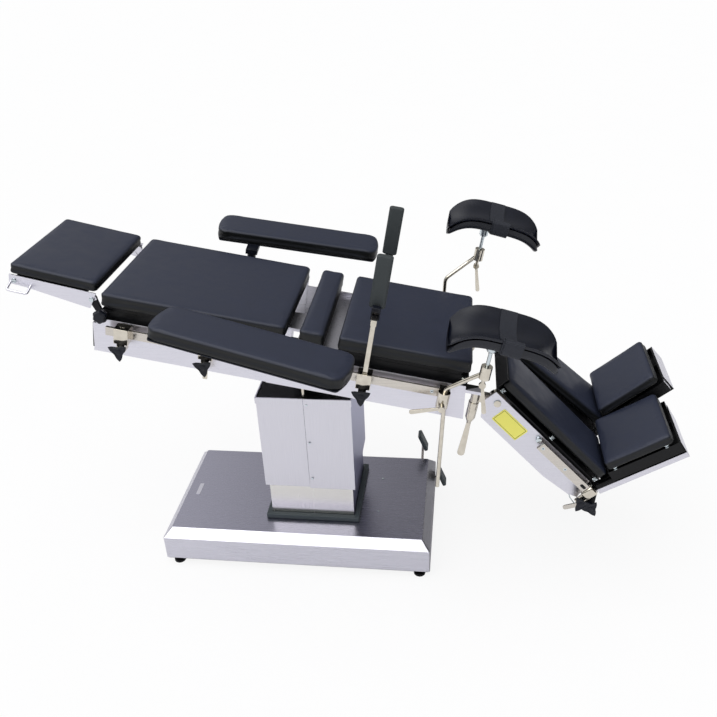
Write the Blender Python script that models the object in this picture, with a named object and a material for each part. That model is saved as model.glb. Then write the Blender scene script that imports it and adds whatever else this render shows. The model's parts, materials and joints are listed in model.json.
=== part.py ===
"""An electric operating table with arm boards, body supports, leg holders and split leg sections.

Metres, +Z up. +X runs to the foot end and +Y to the far side, and the origin lies on the base
frame's underside, midway along and across it. The tabletop is built in its own coordinates: s
along it towards the foot end, y across it, and t square to it, up from the plane that the pads
rest on, with s = 0 over the tilt axis. Each leg and foot section has coordinates of its own.
"""

import math

import bmesh
import bpy
from mathutils import Matrix, Vector

# Fits shared by every piece. STEP keeps the faces of two joined sheets off one plane.
GAP = 0.0003
OVERRUN = 0.004
STEP = 0.0005
WELD = 0.00005
SIDES = 20
FINE_SIDES = 12
EDGE_SEGMENTS = 2
EDGE_PROFILE = 0.5
NEAR, FAR = -1, 1
SIDE_NAMES = {NEAR: "near", FAR: "far"}

# Base
FLOOR_GAP = 0.030
BASE_HALF_LENGTH = 0.506
BASE_HALF_WIDTH = 0.277
BASE_SIDE = 0.100
CHAMFER_RUN = 0.030
CHAMFER_RISE = 0.033
BASE_TOP = BASE_SIDE + CHAMFER_RISE
HOUSING_WALL = 0.003
HOUSING_LIFT = 0.004
HOUSING_CORNER = 0.006
BASE_PLATE = 0.012
RIB = 0.010
RIB_SPREAD = 0.170
RIB_PITCH = 0.150
RIB_STEPS = (-3, -2, -1, 1, 2)
FOOT_INSET_X = 0.040
FOOT_INSET_Y = 0.030
FOOT_RADIUS = 0.022
FOOT_DISC = 0.009
FOOT_STEM = 0.009

# Lifting column
COLUMN_X = 0.056
LOWER_COVER = (0.158, 0.150)
LOWER_COVER_TOP = 0.470
UPPER_COVER = (0.169, 0.164)
UPPER_COVER_BOTTOM = 0.283
UPPER_COVER_TOP = 0.6765
COVER_WALL = 0.002
COVER_STEP = 0.006
COVER_SEAM = 0.0006
RIM_HEIGHT = 0.025
RIM_OUTSET = 0.003
GASKET_WIDTH = 0.020
GASKET_HEIGHT = 0.020
TUBE_HALF = 0.100
TUBE_WALL = 0.008
TUBE_TOP = 0.520
RAM_BOTTOM = 0.262
TOP_PLATE = 0.008
TOP_PLATE_SINK = 0.004
YOKE_NECK = 0.050
YOKE_NECK_TOP = 0.700
YOKE_GAP = 0.045
YOKE_EAR = 0.018
YOKE_EAR_HALF = 0.028
PIVOT_Z = 0.800
TRUNNION = 0.015
PUSH_ROD_RADIUS = 0.0075
PUSH_ROD_Y = 0.146
PUSH_ROD_BOTTOM = 0.636
PUSH_ROD_RELIEF = 0.006
GROMMET = 0.011

# Pedals at the foot end
PEDAL_SHAFT = 0.007
PEDAL_BAR = 0.010
PEDAL_PAD = (0.016, 0.050, 0.080)
PEDAL_LEAN = math.radians(22)
END_PEDAL_Y = BASE_HALF_WIDTH - 0.077
END_PEDAL_AXIS = (BASE_HALF_LENGTH - 0.036, 0.052)
END_PEDAL_PAD = (BASE_HALF_LENGTH + 0.026, 0.086)
END_PEDAL_SLOT = (0.020, 0.052)
SIDE_PEDAL_AXIS = (BASE_HALF_LENGTH - 0.059, 0.062)
SIDE_PEDAL_PAD = (BASE_HALF_LENGTH - 0.054, 0.192)
SIDE_PEDAL_OFFSET = 0.012
PEDAL_LUG = 0.014

# Tabletop
REST_TILT = math.radians(10.4)
PIVOT_TO_PADS = 0.131
PAD_HALF_WIDTH = 0.250
PAD_HEIGHT = 0.060
PAD_CORNER = 0.022
KIDNEY_CORNER = 0.015
PAD_EDGE = 0.013
PAD_CROWN = 0.004
PAD_DRAW = 0.0016
BACK_PAD = (-0.666, -0.051)
KIDNEY_PAD = (-0.008, 0.076)
SEAT_PAD = (0.120, 0.561)
TRAY_DROP = 0.040
BACK_TRAY_END = -0.100
BACK_DECK_END = -0.110
TRAY_INSET = 0.012
TRAY_WALL = 0.003
TRAY_LIP = 0.006
DECK = 0.012
LATERAL_SHAFT = 0.014
BLOCK_HALF = 0.038
LUG_GAP = 0.060
LUG = 0.022
LUG_HALF_WIDTH = 0.030

# Side panels and accessory rails
PANEL_FACE = PAD_HALF_WIDTH + 0.010
PANEL_SHEET = 0.0028
NEST_GAP = 0.0004
PANEL_TOP = -0.025
PANEL_BOTTOM = -0.150
SEAT_PANEL = (-0.095, 0.552)
SEAT_PANEL_FOOT_RUN = 0.016
BACK_PANEL = (-0.683, -0.062)
PANEL_HEAD_RUN = 0.012
EAR_RADIUS = 0.014
BACK_HINGE = (-0.071, 0.002)
HINGE_PIN = 0.006
RAIL_FACE = PANEL_FACE + 0.025
RAIL_THICK = 0.010
RAIL_TOP = -0.036
RAIL_HEIGHT = 0.030
SEAT_RAIL = (-0.030, 0.504)
BACK_RAIL = (-0.631, -0.090)
SPACER_RADIUS = 0.006
SPACER_INSET = 0.045
FLANGE = 0.014

# Kidney bridge
KIDNEY_PLATE = 0.008
KIDNEY_POST = 0.008
KIDNEY_POST_Y = PAD_HALF_WIDTH - 0.050
KIDNEY_POST_LENGTH = 0.172
KIDNEY_SLEEVE = 0.014
KIDNEY_SLEEVE_END = -0.075

# Head section, level in its own coordinates about its pivot
HEAD_PIVOT = (-0.702, 0.019)
HEAD_LIFT = math.radians(2.9)
HEAD_ARM = ((-0.279, 0.0247), (0.014, 0.0247), (-0.004, -0.034), (-0.222, -0.0103), (-0.279, -0.0083))
HEAD_ARM_FACE = PANEL_FACE - 0.038
HEAD_ARM_SHEET = 0.004
HEAD_TRAY = (-0.255, -0.020)
HEAD_TRAY_LEVEL = (0.0145, 0.0245)
HEAD_PAD = (-0.284, 0.013)
HEAD_PAD_HALF_WIDTH = PAD_HALF_WIDTH - 0.042
HEAD_PAD_HEIGHT = 0.035
HANDLE_WIRE = 0.004
HANDLE_ENDS = (-0.272, -0.204)
HANDLE_BEND = 0.008
HANDLE_OUT = 0.032
HANDLE_DROP = 0.016
HEAD_LUG = 0.010
HEAD_LUG_ROUND = 0.016
HEAD_BOLT = 0.006
STAR_KNOB = (-0.655, -0.012)
STAR_KNOB_FACE = PANEL_FACE + 0.002
STAR_KNOB_RADIUS = 0.024
STAR_KNOB_HOLLOW = 0.004
STAR_KNOB_THICK = 0.018
STAR_LOBES = 6
STAR_BOSS = 0.011
END_PLATE_START = -0.686

# Rail clamps and their three-lobed knobs
CLAMP_HALF = 0.024
CLAMP_BACK = RAIL_FACE - 0.018
CLAMP_FRONT = RAIL_FACE + 0.026
CLAMP_TOP = -0.022
CLAMP_BOTTOM = -0.077
CLAMP_LUG_BOTTOM = -0.105
CLAMP_LIP = 0.0075
CLAMP_EDGE = 0.002
KNOB_T = -0.092
KNOB_LUG = 0.013
KNOB_RADIUS = 0.036
KNOB_HOLLOW = 0.013
KNOB_THICK = 0.018
KNOB_NECK = 0.009
KNOB_STAND = 0.006
KNOB_SCREW = 0.005
KNOB_BORE = 0.007
KNOB_LOBES = 3
FLAT_BAR = (0.0075, 0.003)
FLAT_BAR_Y = RAIL_FACE + 0.012
SPARE_CLAMP_S = -0.571

# Arm boards
ARM_CLAMP_S = -0.291
ARM_POST_BOTTOM = -0.155
ARM_POST_SHOULDER = 0.024
ARM_PIN = 0.008
ARM_COLLAR = 0.016
ARM_SWING = {NEAR: math.radians(9.0), FAR: math.radians(5.0)}
ARM_BRACKET_HALF = 0.022
ARM_BRACKET_HEIGHT = 0.016
ARM_PLATE = 0.004
ARM_PLATE_INSET = 0.003
ARM_BOARD_HALF_LENGTH = 0.315
ARM_BOARD_HALF_WIDTH = 0.088
ARM_BOARD_LOW = 0.066
ARM_BOARD_TOP = 0.110
ARM_BOARD_SHIFT = {NEAR: 0.195, FAR: 0.165}
ARM_BOARD_OFFSET = 0.122
ARM_END_BULGE = 0.016
ARM_CORNER = 0.012

# Body supports
SUPPORT_CLAMP_S = 0.226
SUPPORT_BAR_BOTTOM = -0.125
SUPPORT_BAR_TOP = 0.160
SUPPORT_TONGUE = 0.0095
SUPPORT_TONGUE_HEIGHT = 0.020
SUPPORT_JOINT = (PAD_HALF_WIDTH - 0.004, 0.160)
SUPPORT_PIN = 0.005
SUPPORT_EAR = 0.005
SUPPORT_EAR_ROUND = 0.011
SUPPORT_PAD_HALF = 0.026
SUPPORT_PAD_Y = (PAD_HALF_WIDTH - 0.043, PAD_HALF_WIDTH - 0.017)
SUPPORT_PAD_T = (0.176, 0.356)
SUPPORT_PAD_EDGE = 0.009

# Leg holders
HOLDER_CLAMP_S = {NEAR: 0.485, FAR: 0.460}
HOLDER_CLAMP_HALF = 0.016
HOLDER_ROD = 0.007
HOLDER_ROD_Y = RAIL_FACE + 0.024
HOLDER_BODY_RADIUS = 0.020
HOLDER_BODY = (-0.086, -0.030)
HOLDER_RISE = {NEAR: 0.0, FAR: 0.100}
HOLDER_BEND_T = -0.018
HOLDER_LENGTH = 0.390
HOLDER_LEAN = math.radians(7)
HOLDER_REACH = (0.105, 0.035, 0.106)
HOLDER_BEND = 0.016
BARREL_RADIUS = 0.018
BARREL_HEIGHT = 0.044
HUB_RADIUS = 0.011
HUB_LENGTH = 0.020
HUB_T = -0.074
LEVER_LENGTH = 0.105
LEVER_DROOP = math.radians(20)
LEVER_WIDTH = (0.0045, 0.0075)
LEVER_THICK = 0.005
HOLDER_SCREW = 0.0045
LOCK_EYE = 0.011
LOCK_NECK = 0.006
LOCK_BLADE = 0.105
LOCK_EYE_DROP = 0.026
LOCK_HANG = math.radians(15)
SADDLE_STEM = 0.006
SADDLE_STEM_LENGTH = 0.084
SADDLE_SOCKET = 0.016
SADDLE_HALF_LENGTH = 0.165
SADDLE_HALF_WIDTH = 0.102
SADDLE_THICK = 0.028
SADDLE_DISH = 0.034
SADDLE_CURL = (0.064, 0.046)
SADDLE_TAPER = 0.22
SADDLE_LEAN = math.radians(5)
SADDLE_SHIFT = 0.030
SADDLE_STEPS = 12

# Leg sections, one for each side
SPLAY_S = 0.592
SPLAY_Y = PANEL_FACE - 0.024
SPLAY_TAB = 0.020
POST_STEM = 0.009
POST_STEM_BOTTOM = -0.166
POST_SMALL = 0.0145
POST_LARGE = 0.0170
POST_COLLAR = (-0.090, -0.150)
POST_CONE = -0.176
POST_NECK = 0.007
LOCK_LEVER_END = -0.313
LOCK_LEVER_WIDTH = (0.0065, 0.0125)
LEG_PIVOT = (0.664, -0.067)
LEG_DROP = {NEAR: math.radians(36.2), FAR: math.radians(31.0)}
LEG_PANEL = (
    (-0.035, 0.026),
    (0.436, 0.026),
    (0.463, -0.047),
    (0.433, -0.062),
    (0.320, -0.077),
    (0.004, -0.075),
    (-0.037, -0.027),
)
LEG_INNER = 0.016
LEG_TRAY = (0.040, 0.452)
LEG_TRAY_PLATE = (0.0325, 0.0365)
LEG_TRAY_FLOOR = -0.004
LEG_FLANGE = (-0.043, 0.082)
LEG_PAD = (-0.036, 0.466)
LEG_PAD_LEVEL = (0.0370, 0.0840)
LEG_PAD_Y = (0.026, PAD_HALF_WIDTH + 0.005)
LEG_RAIL = (0.205, 0.440)
LEG_RAIL_TOP = 0.021
LEG_LUG = (PANEL_FACE - 0.057, PANEL_FACE - 0.042)
LEG_LUG_ROUND = 0.018
LEG_AXLE = 0.010
BRACKET_ROUND = 0.030
BRACKET_Y = (PANEL_FACE - 0.0415, PANEL_FACE - 0.0215)
BRACKET_ARM = (-0.088, -0.056)
BOLT_HEAD = 0.012
BOLT_HEAD_THICK = 0.004

# Foot sections
FOOT_PIVOT = (0.488, 0.000)
FOOT_RISE = {NEAR: math.radians(79.2), FAR: math.radians(82.5)}
FOOT_LUG = (PANEL_FACE - 0.024, PANEL_FACE - 0.012)
FOOT_LUG_ROUND = 0.018
FOOT_AXLE = 0.007
FOOT_STRIP = (-0.020, 0.338)
FOOT_STRIP_HALF = 0.010
FOOT_TRAY = (0.084, 0.334)
FOOT_TRAY_LEVEL = (0.014, 0.055)
FOOT_TRAY_Y = (0.010, PANEL_FACE - 0.002)
FOOT_PAD = (0.088, 0.314)
FOOT_PAD_HEIGHT = 0.046
FOOT_PAD_Y = (0.004, PANEL_FACE + 0.008)
FOOT_ARM_HALF = 0.012
FOOT_FLOOR = 0.016
POCKETS = 2
LEG_KNOB = (0.520, -0.036)
LEG_KNOB_SIZE = 0.9
LEG_KNOB_STAND = 0.015
GRIP_TIP = (0.486, -0.112)
GRIP_HALF = 0.009
GRIP_Y = (PANEL_FACE - 0.020, PANEL_FACE - 0.016)


def colour_of(text):
    """The linear colour of an sRGB hex value."""
    channels = [int(text[i : i + 2], 16) / 255 for i in (1, 3, 5)]
    linear = [c / 12.92 if c <= 0.04045 else ((c + 0.055) / 1.055) ** 2.4 for c in channels]
    return (*linear, 1.0)


def material(name, colour, roughness, metallic):
    """A plain surface finish."""
    made = bpy.data.materials.get(name)
    if made:
        return made
    made = bpy.data.materials.new(name)
    made.use_nodes = True
    shader = made.node_tree.nodes["Principled BSDF"]
    shader.inputs["Base Color"].default_value = colour_of(colour)
    shader.inputs["Roughness"].default_value = roughness
    shader.inputs["Metallic"].default_value = metallic
    return made


def stainless():
    return material("brushed stainless steel", "#c8c8ce", 0.38, 1.0)


def chrome():
    return material("chromed steel", "#dcd8d0", 0.14, 1.0)


def painted_steel():
    return material("painted steel", "#5a5c60", 0.55, 0.2)


def black_steel():
    return material("black lacquered steel", "#17181a", 0.42, 0.1)


def black_rubber():
    return material("black rubber", "#1b1b1c", 0.80, 0.0)


def black_plastic():
    return material("black plastic", "#23262e", 0.50, 0.0)


def upholstery():
    return material("navy black upholstery", "#343845", 0.55, 0.0)


class Frame:
    """An empty that carries pieces, and the point of its parent's coordinates that it stands at."""

    def __init__(self, name, parent, place, turn=(0.0, 0.0, 0.0), own_origin=False):
        self.empty = bpy.data.objects.new(name, None)
        bpy.context.scene.collection.objects.link(self.empty)
        offset = Vector(place)
        if parent:
            self.empty.parent = parent.empty
            offset = offset - parent.origin
        self.empty.location = offset
        self.empty.rotation_euler = turn
        self.origin = Vector((0.0, 0.0, 0.0)) if own_origin else Vector(place)


def mesh_from(bm, name="shape"):
    """Turn a bmesh into a mesh with its faces pointing out."""
    bmesh.ops.recalc_face_normals(bm, faces=bm.faces)
    made = bpy.data.meshes.new(name)
    bm.to_mesh(made)
    bm.free()
    return made


def block(low, high, bevel=0.0):
    """A box between two corners, its edges rounded by bevel."""
    bm = bmesh.new()
    bmesh.ops.create_cube(bm)
    for vert in bm.verts:
        vert.co = Vector(high[i] if vert.co[i] > 0 else low[i] for i in range(3))
    if bevel:
        bmesh.ops.bevel(
            bm, geom=bm.edges[:], offset=bevel, segments=EDGE_SEGMENTS, affect="EDGES", profile=EDGE_PROFILE
        )
    return mesh_from(bm)


def prism(outline, axis, start, end):
    """An outline drawn across an axis, 0 for X, 1 for Y and 2 for Z, run from start to end."""
    bm = bmesh.new()
    rings = []
    for level in (start, end):
        points = []
        for a, b in outline:
            point = [a, b]
            point.insert(axis, level)
            points.append(bm.verts.new(point))
        rings.append(points)
    bm.faces.new(rings[0])
    bm.faces.new(rings[1])
    bridge(bm, rings[0], rings[1])
    return mesh_from(bm)


def bridge(bm, ring, other):
    """Faces between two rings that have as many points."""
    count = len(ring)
    for i in range(count):
        j = (i + 1) % count
        bm.faces.new((ring[i], ring[j], other[j], other[i]))


def across(axis):
    """Two unit directions square to an axis and to each other."""
    axis = Vector(axis).normalized()
    first = axis.cross(Vector((0, 0, 1)))
    if first.length < 0.1:
        first = axis.cross(Vector((0, 1, 0)))
    first.normalize()
    return first, axis.cross(first).normalized()


def turned(profile, centre, axis, sides=SIDES, closed=False):
    """A profile of (radius, height) points turned round an axis, from pole to pole or closed."""
    bm = bmesh.new()
    centre, axis = Vector(centre), Vector(axis).normalized()
    first, second = across(axis)
    rings = []
    for radius, height in profile:
        middle = centre + axis * height
        if radius == 0:
            rings.append([bm.verts.new(middle)])
            continue
        angles = [2 * math.pi * i / sides for i in range(sides)]
        rings.append(
            [bm.verts.new(middle + (first * math.cos(a) + second * math.sin(a)) * radius) for a in angles]
        )
    pairs = list(zip(rings, rings[1:]))
    if closed:
        pairs.append((rings[-1], rings[0]))
    for low, high in pairs:
        if len(low) == 1 and len(high) == 1:
            continue
        if len(low) == 1 or len(high) == 1:
            pole, ring = (low[0], high) if len(low) == 1 else (high[0], low)
            for i in range(sides):
                bm.faces.new((pole, ring[i], ring[(i + 1) % sides]))
        else:
            bridge(bm, low, high)
    return mesh_from(bm)


def cylinder(start, axis, radius, length, sides=SIDES):
    """A round bar from start along axis."""
    return turned([(0, 0), (radius, 0), (radius, length), (0, length)], start, axis, sides)


def bore_for(radius, sides=SIDES):
    """The corner radius of a faceted bore whose flats clear a round of this radius."""
    return (radius + GAP) / math.cos(math.pi / sides)


def bent_bar(points, radius, sides=FINE_SIDES):
    """A round bar along a line of points."""
    bm = bmesh.new()
    points = [Vector(p) for p in points]
    first, second = across(points[1] - points[0])
    rings = []
    for i, point in enumerate(points):
        before = points[max(i - 1, 0)]
        after = points[min(i + 1, len(points) - 1)]
        along = (after - before).normalized()
        first = (first - along * first.dot(along)).normalized()
        second = along.cross(first)
        ring = []
        for k in range(sides):
            angle = 2 * math.pi * k / sides
            ring.append(bm.verts.new(point + (first * math.cos(angle) + second * math.sin(angle)) * radius))
        rings.append(ring)
    bm.faces.new(rings[0])
    bm.faces.new(rings[-1])
    for ring, other in zip(rings, rings[1:]):
        bridge(bm, ring, other)
    return mesh_from(bm)


def bend_points(corners, radius, steps=4):
    """The points of a line through corners, each inner corner rounded."""
    corners = [Vector(c) for c in corners]
    points = [corners[0]]
    for before, corner, after in zip(corners, corners[1:], corners[2:]):
        start = corner + (before - corner).normalized() * radius
        end = corner + (after - corner).normalized() * radius
        for i in range(steps + 1):
            share = i / steps
            points.append(start.lerp(corner, share).lerp(corner.lerp(end, share), share))
    points.append(corners[-1])
    return points


def rounded_rectangle(half_x, half_y, corner, steps=3):
    """The outline of a rectangle about zero with rounded corners."""
    points = []
    for quarter in range(4):
        sign_x = 1 if quarter in (0, 3) else -1
        sign_y = 1 if quarter in (0, 1) else -1
        middle = (sign_x * (half_x - corner), sign_y * (half_y - corner))
        for i in range(steps + 1):
            angle = math.pi / 2 * (quarter + i / steps)
            points.append((middle[0] + corner * math.cos(angle), middle[1] + corner * math.sin(angle)))
    return points


def arc(middle, radius, start, end, steps):
    """Points of an arc between two angles in degrees."""
    points = []
    for i in range(steps + 1):
        angle = math.radians(start + (end - start) * i / steps)
        points.append((middle[0] + radius * math.cos(angle), middle[1] + radius * math.sin(angle)))
    return points


def stack(outlines, heights):
    """A solid through outlines of equal counts, each at its own height."""
    bm = bmesh.new()
    rings = []
    for outline, height in zip(outlines, heights):
        rings.append([bm.verts.new((x, y, height)) for x, y in outline])
    bm.faces.new(rings[0])
    bm.faces.new(rings[-1])
    for ring, other in zip(rings, rings[1:]):
        bridge(bm, ring, other)
    return mesh_from(bm)


def cushion_rings(height):
    """The inset and the height of each ring of a cushion's side and crown."""
    slant = PAD_EDGE * math.sin(math.pi / 4)
    return [
        (PAD_EDGE / 3, 0.0),
        (0.0, PAD_EDGE / 2),
        (PAD_DRAW, height / 2),
        (0.0, height - PAD_EDGE),
        (PAD_EDGE - slant, height - PAD_EDGE + slant),
        (PAD_EDGE, height),
        (PAD_EDGE * 3, height + PAD_CROWN * 0.6),
        (PAD_EDGE * 5, height + PAD_CROWN),
    ]


def cushion(low, high, corner=PAD_CORNER, crown_down=False):
    """A cushion in a box: soft edges, sides drawn in at the middle and a crown on top."""
    half_x, half_y = (high[0] - low[0]) / 2, (high[1] - low[1]) / 2
    middle = ((high[0] + low[0]) / 2, (high[1] + low[1]) / 2)
    outlines, heights = [], []
    reach = min(half_x, half_y) * 0.8
    for inset, height in cushion_rings(high[2] - low[2]):
        inset = min(inset, reach)
        ring = rounded_rectangle(half_x - inset, half_y - inset, max(corner - inset, corner / 6))
        outlines.append([(x + middle[0], y + middle[1]) for x, y in ring])
        heights.append(low[2] + height)
    return stack(outlines, heights)


def welded(mesh):
    """The mesh with points closer than the weld distance merged and nothing degenerate left."""
    bm = bmesh.new()
    bm.from_mesh(mesh)
    bmesh.ops.remove_doubles(bm, verts=bm.verts, dist=WELD)
    bmesh.ops.dissolve_degenerate(bm, edges=bm.edges, dist=WELD)
    bm.to_mesh(mesh)
    bm.free()
    return mesh


def combine(base, tool, operation):
    """Join a tool to base, or cut it out of it, by Blender's exact solver."""
    collection = bpy.context.scene.collection
    holders = [bpy.data.objects.new("work", mesh) for mesh in (base, tool)]
    for holder in holders:
        collection.objects.link(holder)
    step = holders[0].modifiers.new("work", "BOOLEAN")
    step.operation = operation
    step.solver = "EXACT"
    step.object = holders[1]
    graph = bpy.context.evaluated_depsgraph_get()
    made = bpy.data.meshes.new_from_object(holders[0].evaluated_get(graph))
    for holder in holders:
        mesh = holder.data
        bpy.data.objects.remove(holder)
        bpy.data.meshes.remove(mesh)
    return welded(made)


def join(base, *tools):
    for tool in tools:
        base = combine(base, tool, "UNION")
    return base


def cut(base, *tools):
    for tool in tools:
        base = combine(base, tool, "DIFFERENCE")
    return base


def flipped(mesh):
    """The mesh mirrored to the other side of the table."""
    mesh.transform(Matrix.Scale(-1, 4, Vector((0, 1, 0))))
    mesh.flip_normals()
    return mesh


def on_side(mesh, side):
    """A mesh drawn for the far side, put on the side asked for."""
    return mesh if side == FAR else flipped(mesh)


def place(name, mesh, frame, pivot, finish, smooth=True):
    """Make the named piece, with its origin at a point of the coordinates that it was drawn in."""
    pivot = Vector(pivot)
    mesh.transform(Matrix.Translation(-pivot))
    mesh.name = name
    mesh.materials.clear()
    mesh.materials.append(finish)
    if smooth:
        mesh.shade_smooth()
        mesh.set_sharp_from_angle(angle=math.radians(35))
    made = bpy.data.objects.new(name, mesh)
    bpy.context.scene.collection.objects.link(made)
    if frame:
        made.parent = frame.empty
        pivot = pivot - frame.origin
    made.location = pivot
    return made


def shifted(outline, x, y):
    return [(a + x, b + y) for a, b in outline]


def box_about(x, y, half_x, half_y, low, high, bevel=0.0):
    """An upright box about a point."""
    return block((x - half_x, y - half_y, low), (x + half_x, y + half_y, high), bevel)


# Base


def base_outline(inset):
    return rounded_rectangle(BASE_HALF_LENGTH - inset, BASE_HALF_WIDTH - inset, HOUSING_CORNER)


def make_base_housing():
    """The stainless cover of the base: straight sides, a broad chamfer and a window for the column."""
    outer = stack(
        [base_outline(0), base_outline(0), base_outline(CHAMFER_RUN)], [HOUSING_LIFT, BASE_SIDE, BASE_TOP]
    )
    wall = HOUSING_WALL
    inner = stack(
        [base_outline(wall), base_outline(wall), base_outline(CHAMFER_RUN + wall)],
        [HOUSING_LIFT - OVERRUN, BASE_SIDE - wall, BASE_TOP - wall],
    )
    half = TUBE_HALF + RIB
    window = box_about(COLUMN_X, 0, half, half, BASE_SIDE, BASE_TOP + OVERRUN)
    slot_half, slot_rise = END_PEDAL_SLOT[0] / 2, END_PEDAL_SLOT[1] / 2
    slot_z = (END_PEDAL_AXIS[1] + END_PEDAL_PAD[1]) / 2
    slot = block(
        (BASE_HALF_LENGTH - wall - OVERRUN, END_PEDAL_Y - slot_half, slot_z - slot_rise),
        (BASE_HALF_LENGTH + OVERRUN, END_PEDAL_Y + slot_half, slot_z + slot_rise),
    )
    shaft_start = (SIDE_PEDAL_AXIS[0], BASE_HALF_WIDTH - wall - OVERRUN, SIDE_PEDAL_AXIS[1])
    shaft = cylinder(shaft_start, (0, 1, 0), bore_for(PEDAL_SHAFT), wall + 2 * OVERRUN)
    mesh = cut(outer, inner, window, slot, shaft)
    place("base_housing", mesh, None, (0, 0, 0), stainless())


def levelling_foot(x, y):
    profile = [
        (0, 0),
        (FOOT_RADIUS, 0),
        (FOOT_RADIUS, FOOT_DISC),
        (FOOT_STEM, FOOT_DISC + FOOT_STEM / 2),
        (FOOT_STEM, FLOOR_GAP + BASE_PLATE / 2),
        (0, FLOOR_GAP + BASE_PLATE / 2),
    ]
    return turned(profile, (x, y, -FLOOR_GAP), (0, 0, 1), FINE_SIDES)


def make_base_frame():
    """The ribbed plate inside the base, its feet, the pedals' lugs and the column's fixed tube."""
    inset = HOUSING_WALL + GAP
    plate = stack([base_outline(inset), base_outline(inset)], [0, BASE_PLATE])
    pieces = [plate]
    rib_top = BASE_SIDE - HOUSING_WALL - GAP
    reach = BASE_HALF_LENGTH - CHAMFER_RUN - inset
    low = BASE_PLATE / 2
    for y in (-RIB_SPREAD, RIB_SPREAD):
        pieces.append(block((-reach, y - RIB / 2, low), (reach, y + RIB / 2, rib_top)))
    span = BASE_HALF_WIDTH - CHAMFER_RUN - inset
    for step in RIB_STEPS:
        x = COLUMN_X + step * RIB_PITCH
        pieces.append(block((x - RIB / 2, -span, low), (x + RIB / 2, span, rib_top)))
    seat_half = TUBE_HALF + RIB - GAP
    pieces.append(box_about(COLUMN_X, 0, seat_half, seat_half, low, BASE_TOP - HOUSING_WALL - GAP))
    pieces.append(box_about(COLUMN_X, 0, TUBE_HALF, TUBE_HALF, BASE_SIDE, TUBE_TOP))
    x, y = BASE_HALF_LENGTH - FOOT_INSET_X, BASE_HALF_WIDTH - FOOT_INSET_Y
    for sign_x in (-1, 1):
        for sign_y in (-1, 1):
            pieces.append(levelling_foot(sign_x * x, sign_y * y))
    lug_half = PEDAL_LUG / 2
    for axis, y in (
        (END_PEDAL_AXIS, END_PEDAL_Y - END_PEDAL_SLOT[0] / 2 - lug_half),
        (SIDE_PEDAL_AXIS, BASE_HALF_WIDTH - inset - lug_half),
    ):
        pieces.append(box_about(axis[0], y, PEDAL_LUG, lug_half, low, axis[1] + PEDAL_LUG))
    frame = join(*pieces)
    hollow = box_about(
        COLUMN_X, 0, TUBE_HALF - TUBE_WALL, TUBE_HALF - TUBE_WALL, BASE_TOP, TUBE_TOP + OVERRUN
    )
    bores = [hollow]
    for axis, y in ((END_PEDAL_AXIS, END_PEDAL_Y - END_PEDAL_SLOT[0]), (SIDE_PEDAL_AXIS, BASE_HALF_WIDTH)):
        start = (axis[0], y - 2 * PEDAL_LUG, axis[1])
        bores.append(cylinder(start, (0, 1, 0), bore_for(PEDAL_SHAFT), 4 * PEDAL_LUG))
    place("base_frame", cut(frame, *bores), None, (0, 0, 0), painted_steel())


def pedal_pad(x, y, z):
    """A rubber pedal pad, leaning back, about a point."""
    thick, wide, tall = PEDAL_PAD
    pad = block((-thick / 2, -wide / 2, -tall / 2), (thick / 2, wide / 2, tall / 2), thick / 3)
    pad.transform(Matrix.Translation((x, y, z)) @ Matrix.Rotation(-PEDAL_LEAN, 4, "Y"))
    return pad


def make_pedals():
    """The lever through the end face and the lever on the far side, each on its own shaft."""
    x, z = END_PEDAL_AXIS
    half = PEDAL_BAR / 2
    inner = END_PEDAL_Y - END_PEDAL_SLOT[0] / 2 - PEDAL_LUG
    shaft = cylinder((x, inner, z), (0, 1, 0), PEDAL_SHAFT, END_PEDAL_Y + half - inner)
    end = Vector((END_PEDAL_PAD[0], 0, END_PEDAL_PAD[1])) - Vector((x, 0, z))
    bar = block((0, -half, -half), (end.length, half, half))
    lean = math.atan2(end.z, end.x)
    bar.transform(Matrix.Translation((x, END_PEDAL_Y, z)) @ Matrix.Rotation(-lean, 4, "Y"))
    pad = pedal_pad(END_PEDAL_PAD[0], END_PEDAL_Y, END_PEDAL_PAD[1])
    place("end_pedal", join(shaft, bar, pad), None, (x, END_PEDAL_Y, z), black_rubber())

    x, z = SIDE_PEDAL_AXIS
    y = BASE_HALF_WIDTH + SIDE_PEDAL_OFFSET
    inner = BASE_HALF_WIDTH - HOUSING_WALL - GAP - PEDAL_LUG
    shaft = cylinder((x, inner, z), (0, 1, 0), PEDAL_SHAFT, y + half - inner)
    end = Vector((SIDE_PEDAL_PAD[0], 0, SIDE_PEDAL_PAD[1])) - Vector((x, 0, z))
    bar = block((0, -half, -half), (end.length, half, half))
    lean = math.atan2(end.z, end.x)
    bar.transform(Matrix.Translation((x, y, z)) @ Matrix.Rotation(-lean, 4, "Y"))
    pad = pedal_pad(SIDE_PEDAL_PAD[0], y + half, SIDE_PEDAL_PAD[1])
    place("side_pedal", join(shaft, bar, pad), None, (x, y, z), black_rubber())


# Lifting column


def square_ring(half_x, half_y, wall, low, high):
    """An upright rectangular tube about the column's axis."""
    outer = box_about(COLUMN_X, 0, half_x, half_y, low, high)
    inner = box_about(COLUMN_X, 0, half_x - wall, half_y - wall, low - OVERRUN, high + OVERRUN)
    return cut(outer, inner)


def make_lower_column():
    gasket_x, gasket_y = LOWER_COVER[0] + GASKET_WIDTH, LOWER_COVER[1] + GASKET_WIDTH
    foot = BASE_TOP + GAP
    gasket = square_ring(gasket_x, gasket_y, GASKET_WIDTH - GAP, foot, foot + GASKET_HEIGHT)
    place("column_gasket", gasket, None, (COLUMN_X, 0, BASE_TOP), black_rubber())
    cover = square_ring(LOWER_COVER[0], LOWER_COVER[1], COVER_WALL, foot, LOWER_COVER_TOP)
    place("lower_column_cover", cover, None, (COLUMN_X, 0, BASE_TOP), stainless())


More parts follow.
